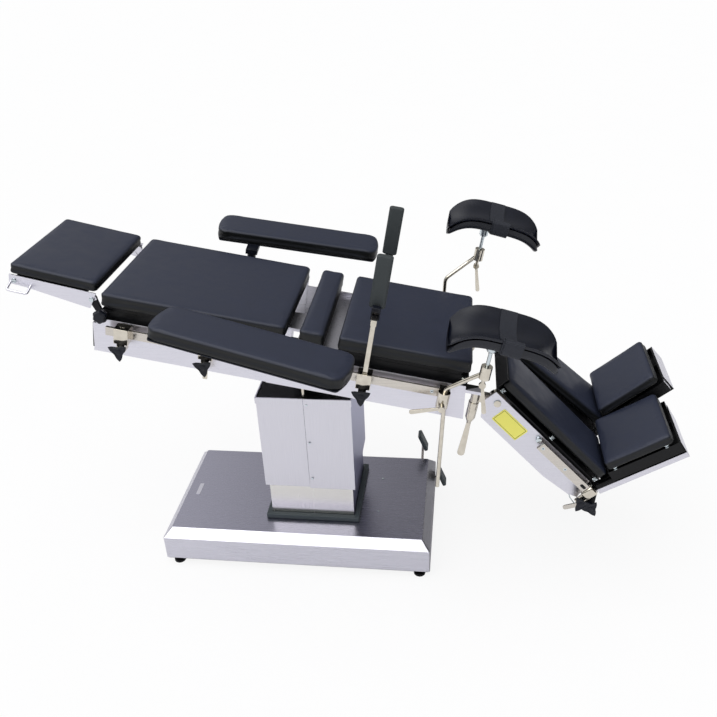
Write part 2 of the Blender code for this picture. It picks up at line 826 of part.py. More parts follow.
def upper_cover_half(side):
    """One U-shaped half of the upper cover, with the rim folded out at its top."""
    bottom = UPPER_COVER_BOTTOM + (COVER_STEP if side < 0 else 0)
    rim_low = UPPER_COVER_TOP - RIM_HEIGHT
    half_x, half_y = UPPER_COVER
    body = box_about(COLUMN_X, 0, half_x, half_y, bottom, rim_low + OVERRUN)
    rim = box_about(COLUMN_X, 0, half_x + RIM_OUTSET, half_y + RIM_OUTSET, rim_low, UPPER_COVER_TOP)
    hollow = box_about(
        COLUMN_X, 0, half_x - COVER_WALL, half_y - COVER_WALL, bottom - OVERRUN, UPPER_COVER_TOP + OVERRUN
    )
    reach = UPPER_COVER[0] + OVERRUN
    wide = UPPER_COVER[1] + 2 * OVERRUN
    edge = COLUMN_X - side * COVER_SEAM / 2
    away = sorted((edge + side * COVER_SEAM, edge - side * reach))
    other_half = block((away[0], -wide, 0), (away[1], wide, UPPER_COVER_TOP + OVERRUN))
    hole_y = -PUSH_ROD_Y
    hole = cylinder((COLUMN_X, hole_y, rim_low - OVERRUN), (0, 0, 1), GROMMET + GAP, RIM_HEIGHT + 2 * OVERRUN)
    return cut(join(body, rim), hollow, other_half, hole)


def make_upper_column(lift):
    for side, name in ((-1, "column_cover_left"), (1, "column_cover_right")):
        place(name, upper_cover_half(side), lift, (COLUMN_X, 0, 0), stainless())
    half = TUBE_HALF - TUBE_WALL - GAP
    plate_top = UPPER_COVER_TOP - TOP_PLATE_SINK
    plate_low = plate_top - TOP_PLATE
    column = box_about(COLUMN_X, 0, half, half, RAM_BOTTOM, plate_top)
    plate = box_about(
        COLUMN_X,
        0,
        UPPER_COVER[0] - COVER_WALL - GAP,
        UPPER_COVER[1] - COVER_WALL - GAP,
        plate_low,
        plate_top,
    )
    neck = box_about(COLUMN_X, 0, YOKE_NECK, YOKE_GAP + YOKE_EAR, plate_low, YOKE_NECK_TOP, OVERRUN / 2)
    ears = []
    for side in (NEAR, FAR):
        top = arc((COLUMN_X, PIVOT_Z), YOKE_EAR_HALF, 0, 180, 8)
        root = YOKE_NECK_TOP - OVERRUN
        foot = [(COLUMN_X - YOKE_EAR_HALF, root), (COLUMN_X + YOKE_EAR_HALF, root)]
        inner = side * YOKE_GAP
        ears.append(prism(top + foot, 1, inner, inner + side * YOKE_EAR))
    barrel_low = plate_low - RIM_HEIGHT * 2
    guide_length = plate_top + TOP_PLATE_SINK - barrel_low
    guide = cylinder((COLUMN_X, -PUSH_ROD_Y, barrel_low), (0, 0, 1), GROMMET, guide_length)
    solid = join(column, plate, neck, *ears, guide)
    wall = half - TUBE_WALL
    hollow = box_about(COLUMN_X, 0, wall, wall, RAM_BOTTOM - OVERRUN, plate_low - TUBE_WALL)
    shaft_start = (COLUMN_X, -YOKE_GAP - YOKE_EAR - OVERRUN, PIVOT_Z)
    shaft = cylinder(shaft_start, (0, 1, 0), bore_for(TRUNNION), 2 * (YOKE_GAP + YOKE_EAR + OVERRUN))
    rod_bore = cylinder(
        (COLUMN_X, -PUSH_ROD_Y, barrel_low - OVERRUN),
        (0, 0, 1),
        bore_for(PUSH_ROD_RADIUS),
        plate_top + TOP_PLATE_SINK - barrel_low + 2 * OVERRUN,
    )
    place("lift_ram", cut(solid, hollow, shaft, rod_bore), lift, (COLUMN_X, 0, 0), black_steel())


def make_push_rod(lift):
    """The rod that tilts the tabletop sideways, rounded where it bears under the seat deck."""
    top = PIVOT_Z + PIVOT_TO_PADS - TRAY_DROP - DECK - PUSH_ROD_RELIEF
    length = top - PUSH_ROD_BOTTOM
    radius = PUSH_ROD_RADIUS
    profile = [(0, 0), (radius, 0), (radius, length - radius)]
    profile += [(r, length - radius + h) for r, h in arc((0, 0), radius, 25, 70, 2)]
    profile.append((0, length))
    mesh = turned(profile, (COLUMN_X, -PUSH_ROD_Y, PUSH_ROD_BOTTOM), (0, 0, 1), FINE_SIDES)
    place("tilt_push_rod", mesh, lift, (COLUMN_X, -PUSH_ROD_Y, PUSH_ROD_BOTTOM), chrome())


def make_tilt_block(tilt):
    """The cross piece: trunnions across for the head-to-foot tilt, a shaft along for the side tilt."""
    level = -PIVOT_TO_PADS
    body_y = YOKE_GAP - GAP
    body = block(
        (-BLOCK_HALF, -body_y, level - YOKE_EAR_HALF), (BLOCK_HALF, body_y, level + YOKE_EAR_HALF), OVERRUN
    )
    reach = YOKE_GAP + YOKE_EAR
    trunnion = cylinder((0, -reach, level), (0, 1, 0), TRUNNION, 2 * reach)
    reach = LUG_GAP + LUG
    shaft = cylinder((-reach, 0, level), (1, 0, 0), LATERAL_SHAFT, 2 * reach)
    collars = cylinder((-LUG_GAP + GAP, 0, level), (1, 0, 0), TRUNNION + OVERRUN, 2 * (LUG_GAP - GAP))
    place("tilt_block", join(body, trunnion, shaft, collars), tilt, (0, 0, level), painted_steel())


# Tabletop sections


def tray(start, end, low, high, drop):
    """A black pan that a pad rests on: a lid with skirts, open below."""
    pan = block((start, low, -drop), (end, high, -GAP))
    inner = block(
        (start + TRAY_WALL, low + TRAY_WALL, -drop - OVERRUN),
        (end - TRAY_WALL, high - TRAY_WALL, -TRAY_LIP),
    )
    return pan, inner


def panel(outline, face):
    """A side panel standing across y, drawn for the far side, its outer side at face."""
    return prism(outline, 1, face - PANEL_SHEET, face)


def rail(start, end, top, root, spacer_places):
    """An accessory rail and the round spacers that hold it off its panel, for the far side."""
    inner = RAIL_FACE - RAIL_THICK
    pieces = [block((start, inner, top - RAIL_HEIGHT), (end, RAIL_FACE, top))]
    level = top - RAIL_HEIGHT / 2
    for place_s in spacer_places:
        length = inner + RAIL_THICK / 2 - root
        pieces.append(cylinder((place_s, root, level), (0, 1, 0), SPACER_RADIUS, length, FINE_SIDES))
    return pieces


def seat_side(side):
    """The seat section's side panel with its hinge ear, top flange and rail."""
    s, t = BACK_HINGE
    ear = arc((s, t), EAR_RADIUS, 0, 180, 6)
    left, right = SEAT_PANEL
    outline = [(s + EAR_RADIUS, PANEL_TOP), (right, PANEL_TOP)]
    outline += [(right + SEAT_PANEL_FOOT_RUN, PANEL_BOTTOM), (left, PANEL_BOTTOM), (left, PANEL_TOP)]
    outline += [(s - EAR_RADIUS, PANEL_TOP)]
    outline += ear[::-1]
    plate = panel(outline, PANEL_FACE)
    start, end = SEAT_RAIL
    root = PANEL_FACE - PANEL_SHEET / 2
    places = (start + SPACER_INSET, (start + end) / 2, end - SPACER_INSET)
    return [on_side(mesh, side) for mesh in [plate, *rail(start, end, RAIL_TOP, root, places)]]


def back_side(side):
    """The back section's side panel, which runs inside the seat panel at the hinge, with its rail."""
    s, t = BACK_HINGE
    ear = arc((s, t), EAR_RADIUS, 0, 180, 6)
    left, right = BACK_PANEL
    right = s + EAR_RADIUS
    outline = [(right, PANEL_BOTTOM), (left, PANEL_BOTTOM)]
    outline += [(left + PANEL_HEAD_RUN, PANEL_TOP), (s - EAR_RADIUS, PANEL_TOP)]
    outline += ear[::-1]
    face = PANEL_FACE - PANEL_SHEET - NEST_GAP
    plate = panel(outline, face)
    start, end = BACK_RAIL
    root = face - PANEL_SHEET / 2
    places = (start + SPACER_INSET, (start + end) / 2, end - SPACER_INSET)
    return [on_side(mesh, side) for mesh in [plate, *rail(start, end, RAIL_TOP, root, places)]]


def hinge_bores():
    """Bores through the seat ears for the back section's hinge pins."""
    start = (BACK_HINGE[0], -PANEL_FACE - OVERRUN, BACK_HINGE[1])
    return cylinder(start, (0, 1, 0), bore_for(HINGE_PIN, FINE_SIDES), 2 * (PANEL_FACE + OVERRUN), FINE_SIDES)


def make_seat_frame(roll):
    """Seat deck with the tilt lugs, kidney sleeves, both side panels and rails, and the seat tray."""
    deck_top = -TRAY_DROP + OVERRUN / 2
    deck_low = -TRAY_DROP - DECK
    inner = PANEL_FACE - PANEL_SHEET / 2
    deck_start = KIDNEY_PAD[0] - FLANGE
    deck = block((deck_start, -inner, deck_low), (SEAT_PANEL[1], inner, deck_top - OVERRUN / 2))
    neck_start = -LUG_GAP - LUG
    narrow = block(
        (neck_start, -LUG_HALF_WIDTH * 2, deck_low + STEP),
        (deck_start + OVERRUN, LUG_HALF_WIDTH * 2, -TRAY_DROP - STEP),
    )
    pieces = [deck, narrow]
    pan_half = PAD_HALF_WIDTH - TRAY_INSET
    pan, pan_hollow = tray(
        SEAT_PAD[0] + OVERRUN, SEAT_PAD[1] - OVERRUN, -pan_half, pan_half, TRAY_DROP + OVERRUN / 2
    )
    pieces.append(pan)
    for side in (NEAR, FAR):
        pieces += seat_side(side)
        sleeve_start = (kidney_middle(), side * KIDNEY_POST_Y, KIDNEY_SLEEVE_END)
        sleeve_length = deck_low - KIDNEY_SLEEVE_END + OVERRUN
        pieces.append(cylinder(sleeve_start, (0, 0, 1), KIDNEY_SLEEVE, sleeve_length, FINE_SIDES))
    pieces += splay_posts()
    for start in (-LUG_GAP - LUG, LUG_GAP):
        low = -PIVOT_TO_PADS
        outline = arc((0, low), LUG_HALF_WIDTH * 0.8, 180, 360, 8)
        outline += [(LUG_HALF_WIDTH, deck_low + OVERRUN / 2), (-LUG_HALF_WIDTH, deck_low + OVERRUN / 2)]
        pieces.append(prism(outline, 0, start, start + LUG))
    solid = join(*pieces)
    shaft_reach = LUG_GAP + LUG + OVERRUN
    shaft = cylinder((-shaft_reach, 0, -PIVOT_TO_PADS), (1, 0, 0), bore_for(LATERAL_SHAFT), 2 * shaft_reach)
    bores = [pan_hollow, shaft, hinge_bores()]
    for side in (NEAR, FAR):
        start = (kidney_middle(), side * KIDNEY_POST_Y, KIDNEY_SLEEVE_END - OVERRUN)
        length = -KIDNEY_SLEEVE_END + OVERRUN
        bores.append(cylinder(start, (0, 0, 1), bore_for(KIDNEY_POST, FINE_SIDES), length, FINE_SIDES))
    place("seat_frame", cut(solid, *bores), roll, (0, 0, -PIVOT_TO_PADS), stainless())


def make_seat_pad(roll):
    pad = cushion((SEAT_PAD[0], -PAD_HALF_WIDTH, 0), (SEAT_PAD[1], PAD_HALF_WIDTH, PAD_HEIGHT))
    place("seat_pad", pad, roll, (SEAT_PAD[0], 0, 0), upholstery())


def kidney_middle():
    return (KIDNEY_PAD[0] + KIDNEY_PAD[1]) / 2


def make_kidney_bridge(kidney):
    """The rising bridge: a plate under the kidney pad on two posts that slide in the seat's sleeves."""
    start, end = KIDNEY_PAD
    half = PAD_HALF_WIDTH - TRAY_INSET
    inset = OVERRUN
    plate = block((start + inset, -half, -KIDNEY_PLATE), (end - inset, half, -GAP))
    pieces = [plate]
    for side in (NEAR, FAR):
        foot = (kidney_middle(), side * KIDNEY_POST_Y, -KIDNEY_POST_LENGTH)
        length = KIDNEY_POST_LENGTH - KIDNEY_PLATE / 2
        pieces.append(cylinder(foot, (0, 0, 1), KIDNEY_POST, length, FINE_SIDES))
    place("kidney_bridge", join(*pieces), kidney, (kidney_middle(), 0, 0), black_steel())
    pad = cushion((start, -PAD_HALF_WIDTH, 0), (end, PAD_HALF_WIDTH, PAD_HEIGHT), KIDNEY_CORNER)
    place("kidney_pad", pad, kidney, (kidney_middle(), 0, 0), upholstery())


def make_back_section(back):
    """Back deck and tray with side panels, rails, hinge pins and the head section's lugs."""
    face = PANEL_FACE - PANEL_SHEET - NEST_GAP
    inner = face - PANEL_SHEET / 2
    start = BACK_PANEL[0] + PANEL_HEAD_RUN
    deck = block((start, -inner, -TRAY_DROP - DECK), (BACK_DECK_END, inner, -TRAY_DROP))
    pan_half = PAD_HALF_WIDTH - TRAY_INSET
    pan, hollow = tray(
        BACK_PAD[0] + OVERRUN, BACK_TRAY_END, -pan_half, pan_half, TRAY_DROP + OVERRUN / 2
    )
    pieces = [deck, pan]
    for side in (NEAR, FAR):
        pieces += back_side(side) + head_lug(side)
        pin_start = (BACK_HINGE[0], side * (face - PANEL_SHEET), BACK_HINGE[1])
        pin_length = PANEL_FACE - face + PANEL_SHEET
        pieces.append(cylinder(pin_start, (0, side, 0), HINGE_PIN, pin_length, FINE_SIDES))
    low_start, low_end = END_PLATE_START, BACK_PANEL[0] + PANEL_HEAD_RUN
    pieces.append(block((low_start, -inner, PANEL_BOTTOM + FLANGE), (low_end, inner, -TRAY_DROP - DECK / 2)))
    s, t = STAR_KNOB
    root = pan_half - TRAY_WALL / 2
    end = STAR_KNOB_FACE - KNOB_STAND - GAP
    boss = cylinder((s, root, t), (0, 1, 0), STAR_BOSS, end - root)
    deep = STAR_KNOB_FACE - KNOB_STAND - KNOB_BORE - GAP
    screw_bore = bore_for(KNOB_SCREW, FINE_SIDES)
    screw = cylinder((s, deep, t), (0, 1, 0), screw_bore, KNOB_STAND + KNOB_BORE, FINE_SIDES)
    pieces.append(on_side(boss, NEAR))
    bores = [hollow, on_side(screw, NEAR)]
    place("back_frame", cut(join(*pieces), *bores), back, (BACK_HINGE[0], 0, BACK_HINGE[1]), stainless())
    pad = cushion((BACK_PAD[0], -PAD_HALF_WIDTH, 0), (BACK_PAD[1], PAD_HALF_WIDTH, PAD_HEIGHT))
    place("back_pad", pad, back, (BACK_HINGE[0], 0, BACK_HINGE[1]), upholstery())


def head_lug(side):
    """A lug on the back section's head end that the head section's arm turns on."""
    s, t = HEAD_PIVOT
    inner = HEAD_ARM_FACE - HEAD_ARM_SHEET - GAP
    start = BACK_PANEL[0] + PANEL_HEAD_RUN
    outline = arc((s, t), HEAD_LUG_ROUND, 0, 180, 8)
    outline += [(start, -TRAY_DROP - DECK), (start + DECK, -TRAY_DROP - DECK), (start + DECK, -TRAY_DROP)]
    lug = prism(outline, 1, inner - HEAD_LUG, inner)
    pin = cylinder((s, inner - HEAD_LUG / 2, t), (0, 1, 0), HEAD_BOLT, HEAD_LUG, FINE_SIDES)
    return [on_side(lug, side), on_side(pin, side)]


def make_head_section(head):
    """The head section: arms and tray, the wire handle at its end, and its pad."""
    inner = HEAD_ARM_FACE - HEAD_ARM_SHEET
    start, end = HEAD_TRAY
    low, high = HEAD_TRAY_LEVEL
    reach = inner + HEAD_ARM_SHEET / 2
    pieces = [block((start, -reach, low), (end, reach, high))]
    for side in (NEAR, FAR):
        pieces.append(on_side(prism(HEAD_ARM, 1, inner, HEAD_ARM_FACE), side))
        first, last = HANDLE_ENDS
        out, root = HEAD_ARM_FACE + HANDLE_OUT, HEAD_ARM_FACE - HEAD_ARM_SHEET / 2
        corners = [(first, root, 0), (first, out, -HANDLE_DROP), (last, out, -HANDLE_DROP), (last, root, 0)]
        wire = bent_bar(bend_points(corners, HANDLE_BEND), HANDLE_WIRE, FINE_SIDES)
        pieces.append(on_side(wire, side))
    bore = cylinder((0, -HEAD_ARM_FACE - OVERRUN, 0), (0, 1, 0), bore_for(HEAD_BOLT, FINE_SIDES),
                    2 * (HEAD_ARM_FACE + OVERRUN), FINE_SIDES)
    place("head_frame", cut(join(*pieces), bore), head, (0, 0, 0), stainless())
    half = HEAD_PAD_HALF_WIDTH
    bottom = high + GAP
    pad = cushion((HEAD_PAD[0], -half, bottom), (HEAD_PAD[1], half, bottom + HEAD_PAD_HEIGHT))
    place("head_pad", pad, head, (0, 0, 0), upholstery())


def lobed_outline(radius, hollow, lobes, points):
    """A knob's outline: lobes standing out of a circle."""
    outline = []
    for i in range(points):
        angle = 2 * math.pi * i / points
        reach = radius - hollow * (1 - math.cos(lobes * angle)) / 2
        outline.append((reach * math.cos(angle), reach * math.sin(angle)))
    return outline


def knob(radius, hollow, thick, lobes, stem, stand=KNOB_STAND):
    """A lobed knob that faces +Y with its screw towards -Y, its back at y = 0."""
    points = SIDES + 4
    edge = thick / 8
    outlines = [
        lobed_outline(radius - edge, hollow, lobes, points),
        lobed_outline(radius, hollow, lobes, points),
        lobed_outline(radius, hollow, lobes, points),
        lobed_outline(radius - 2 * edge, hollow, lobes, points),
    ]
    body = stack(outlines, [0, edge, thick - 2 * edge, thick])
    body.transform(Matrix.Rotation(-math.pi / 2, 4, "X"))
    body.transform(Matrix.Rotation(math.pi / 2, 4, "Y"))
    neck = cylinder((0, -stand, 0), (0, 1, 0), KNOB_NECK, stand + edge / 2, FINE_SIDES)
    screw = cylinder((0, -stand - stem, 0), (0, 1, 0), KNOB_SCREW, stem + stand / 2, FINE_SIDES)
    return join(body, neck, screw)


def put_knob(name, mesh, side, frame, spot):
    """Place a knob on its axis, facing away from the table."""
    s, y, t = spot
    mesh.transform(Matrix.Translation((s, y, t)))
    place(name, on_side(mesh, side), frame, (s, side * y, t), black_plastic())


def clamp_body(s):
    """A clamp block hooked over the rail, drawn for the far side."""
    half = CLAMP_HALF
    rail_inner = RAIL_FACE - RAIL_THICK
    body = block((s - half, CLAMP_BACK, CLAMP_BOTTOM), (s + half, CLAMP_FRONT, CLAMP_TOP), CLAMP_EDGE)
    reach = half + OVERRUN
    low, high = RAIL_TOP - RAIL_HEIGHT, RAIL_TOP
    seat = block((s - reach, rail_inner - GAP, low - GAP), (s + reach, RAIL_FACE + GAP, high + GAP))
    mouth = block(
        (s - reach, CLAMP_BACK - OVERRUN, low + CLAMP_LIP), (s + reach, rail_inner, high - CLAMP_LIP)
    )
    lug = block(
        (s - KNOB_LUG, CLAMP_BACK + CLAMP_LIP, CLAMP_LUG_BOTTOM),
        (s + KNOB_LUG, CLAMP_FRONT, CLAMP_BOTTOM + OVERRUN),
    )
    screw = cylinder((s, CLAMP_FRONT - KNOB_BORE, KNOB_T), (0, 1, 0), bore_for(KNOB_SCREW, FINE_SIDES),
                     KNOB_BORE + OVERRUN, FINE_SIDES)
    return cut(join(body, lug), seat, mouth, screw)


def flat_bar(s, low, high):
    """The flat upright bar held in a clamp, drawn for the far side."""
    return box_about(s, FLAT_BAR_Y, FLAT_BAR[0], FLAT_BAR[1], low, high)


def make_clamp_knob(name, s, side, frame):
    mesh = knob(KNOB_RADIUS, KNOB_HOLLOW, KNOB_THICK, KNOB_LOBES, KNOB_BORE - GAP)
    put_knob(name, mesh, side, frame, (s, CLAMP_FRONT + KNOB_STAND + GAP, KNOB_T))


def make_spare_clamp(back):
    """The empty clamp on the near rail, its bar slot open."""
    s = SPARE_CLAMP_S
    half_s, half_y = FLAT_BAR[0] + GAP, FLAT_BAR[1] + GAP
    slot = box_about(s, FLAT_BAR_Y, half_s, half_y, CLAMP_LUG_BOTTOM - OVERRUN, CLAMP_TOP + OVERRUN)
    clamp = Frame("spare_clamp_axis", back, (s, -FLAT_BAR_Y, RAIL_TOP))
    pivot = (s, -FLAT_BAR_Y, RAIL_TOP)
    place("spare_clamp", on_side(cut(clamp_body(s), slot), NEAR), clamp, pivot, chrome())
    make_clamp_knob("spare_clamp_knob", s, NEAR, clamp)


def round_corners(outline, radius, steps=3):
    """Round the sharp corners of an outline that turn by more than half a right angle."""
    count = len(outline)
    points = []
    for i in range(count):
        before, corner, after = (Vector(outline[(i + k) % count]) for k in (-1, 0, 1))
        arrive, leave = (corner - before).normalized(), (after - corner).normalized()
        if arrive.dot(leave) > math.cos(math.pi / 4):
            points.append(tuple(corner))
            continue
        start, end = corner - arrive * radius, corner + leave * radius
        for k in range(steps + 1):
            share = k / steps
            points.append(tuple(start.lerp(corner, share).lerp(corner.lerp(end, share), share)))
    return points


def board_outline(inset):
    """The outline of an arm board: straight sides and bulging ends."""
    half_length, half_width = ARM_BOARD_HALF_LENGTH - inset, ARM_BOARD_HALF_WIDTH - inset
    bulge = ARM_END_BULGE * half_width / ARM_BOARD_HALF_WIDTH
    radius = (half_width**2 + bulge**2) / (2 * bulge)
    swing = math.degrees(math.asin(half_width / radius))
    end = arc((half_length - radius, 0), radius, -swing, swing, 6)
    other = [(-x, -y) for x, y in end]
    return round_corners(end + other, max(ARM_CORNER - inset, ARM_CORNER / 4))


def make_arm_board(side, back):
    """An arm board on its rail clamp: clamp with post, knob, swinging board and pad."""
    name = SIDE_NAMES[side]
    s = ARM_CLAMP_S
    clamp = Frame(f"arm_clamp_{name}_axis", back, (s, side * FLAT_BAR_Y, RAIL_TOP))
    pin = cylinder((s, FLAT_BAR_Y, ARM_POST_SHOULDER - OVERRUN), (0, 0, 1), ARM_PIN,
                   ARM_BOARD_LOW - GAP - ARM_POST_SHOULDER, FINE_SIDES)
    shoulder_low = ARM_POST_SHOULDER - 2 * OVERRUN
    shoulder = cylinder((s, FLAT_BAR_Y, shoulder_low), (0, 0, 1), ARM_COLLAR, 2 * OVERRUN, FINE_SIDES)
    post = flat_bar(s, ARM_POST_BOTTOM, ARM_POST_SHOULDER - OVERRUN)
    mesh = join(clamp_body(s), post, shoulder, pin)
    pivot = (s, side * FLAT_BAR_Y, RAIL_TOP)
    place(f"arm_clamp_{name}", on_side(mesh, side), clamp, pivot, chrome())
    make_clamp_knob(f"arm_clamp_knob_{name}", s, side, clamp)

    turn = (0, 0, side * ARM_SWING[side])
    shift = ARM_BOARD_SHIFT[side]
    swing = Frame(f"arm_swing_{name}_axis", clamp, (s, side * FLAT_BAR_Y, 0), turn, own_origin=True)
    plate_top = ARM_BOARD_LOW + ARM_PLATE
    outline = shifted(board_outline(ARM_PLATE_INSET), shift, ARM_BOARD_OFFSET)
    plate = stack([outline, outline], [ARM_BOARD_LOW, plate_top])
    bracket_low = ARM_BOARD_LOW - ARM_BRACKET_HEIGHT
    half = ARM_BRACKET_HALF
    bracket_top = ARM_BOARD_LOW + ARM_PLATE / 2
    bracket = block((-half, -ARM_COLLAR, bracket_low), (half, ARM_BOARD_OFFSET + half, bracket_top))
    collar_low = ARM_POST_SHOULDER + GAP
    collar = cylinder((0, 0, collar_low), (0, 0, 1), ARM_COLLAR, plate_top - collar_low)
    bore = cylinder((0, 0, collar_low - OVERRUN), (0, 0, 1), bore_for(ARM_PIN, FINE_SIDES),
                    ARM_BOARD_LOW - collar_low + OVERRUN, FINE_SIDES)
    board = cut(join(plate, bracket, collar), bore)
    place(f"arm_board_{name}", on_side(board, side), swing, (0, 0, 0), black_steel())

    outlines, heights = [], []
    bottom = plate_top + GAP
    for inset, height in cushion_rings(ARM_BOARD_TOP - bottom):
        outlines.append(shifted(board_outline(inset), shift, ARM_BOARD_OFFSET))
        heights.append(bottom + height)
    place(f"arm_pad_{name}", on_side(stack(outlines, heights), side), swing, (0, 0, 0), upholstery())


def make_body_support(side, roll):
    """A body support: clamp with its bent bar, knob, and the pad on its ratchet joint."""
    name = SIDE_NAMES[side]
    s = SUPPORT_CLAMP_S
    clamp = Frame(f"support_clamp_{name}_axis", roll, (s, side * FLAT_BAR_Y, RAIL_TOP))
    bar = flat_bar(s, SUPPORT_BAR_BOTTOM, SUPPORT_BAR_TOP)
    y, t = SUPPORT_JOINT
    half_height = SUPPORT_TONGUE_HEIGHT / 2
    tongue = block(
        (s - SUPPORT_TONGUE, y, t - half_height),
        (s + SUPPORT_TONGUE, FLAT_BAR_Y + FLAT_BAR[1], t + half_height),
    )
    nose = cylinder((s - SUPPORT_TONGUE, y, t), (1, 0, 0), half_height, 2 * SUPPORT_TONGUE)
    reach = SUPPORT_TONGUE + SUPPORT_EAR
    pin = cylinder((s - reach, y, t), (1, 0, 0), SUPPORT_PIN, 2 * reach, FINE_SIDES)
    pivot = (s, side * FLAT_BAR_Y, RAIL_TOP)
    mesh = join(clamp_body(s), bar, tongue, nose, pin)
    place(f"support_clamp_{name}", on_side(mesh, side), clamp, pivot, chrome())
    make_clamp_knob(f"support_clamp_knob_{name}", s, side, clamp)

    low, high = SUPPORT_PAD_T
    half = SUPPORT_PAD_HALF
    pad = block((s - half, SUPPORT_PAD_Y[0], low), (s + half, SUPPORT_PAD_Y[1], high), SUPPORT_PAD_EDGE)
    pieces = [pad]
    for start in (s - reach, s + SUPPORT_TONGUE + GAP):
        ear_top = low + 4 * SUPPORT_PAD_EDGE
        outline = arc((y, t), SUPPORT_EAR_ROUND, 180, 360, 8)
        outline += [(SUPPORT_PAD_Y[1] + OVERRUN, ear_top), (SUPPORT_PAD_Y[0] + OVERRUN, ear_top)]
        outline.append((SUPPORT_PAD_Y[0] + 2 * OVERRUN, low + SUPPORT_PAD_EDGE))
        pieces.append(prism(outline, 0, start, start + SUPPORT_EAR - GAP))
    bore = cylinder((s - reach - OVERRUN, y, t), (1, 0, 0), bore_for(SUPPORT_PIN, FINE_SIDES),
                    2 * (reach + OVERRUN), FINE_SIDES)
    tilt = Frame(f"support_pad_{name}_axis", clamp, (s, side * y, t))
    mesh = cut(join(*pieces), bore)
    place(f"support_pad_{name}", on_side(mesh, side), tilt, (s, side * y, t), upholstery())


def tapered_lever(length, widths, thick):
    """A flat lever along +X from zero, narrow at its root and rounded at its tip."""
    root, tip = widths
    outline = [(0, root), (0, -root)] + arc((length - tip, 0), tip, -90, 90, 6)
    lever = stack([outline, outline], [-thick / 2, thick / 2])
    return lever


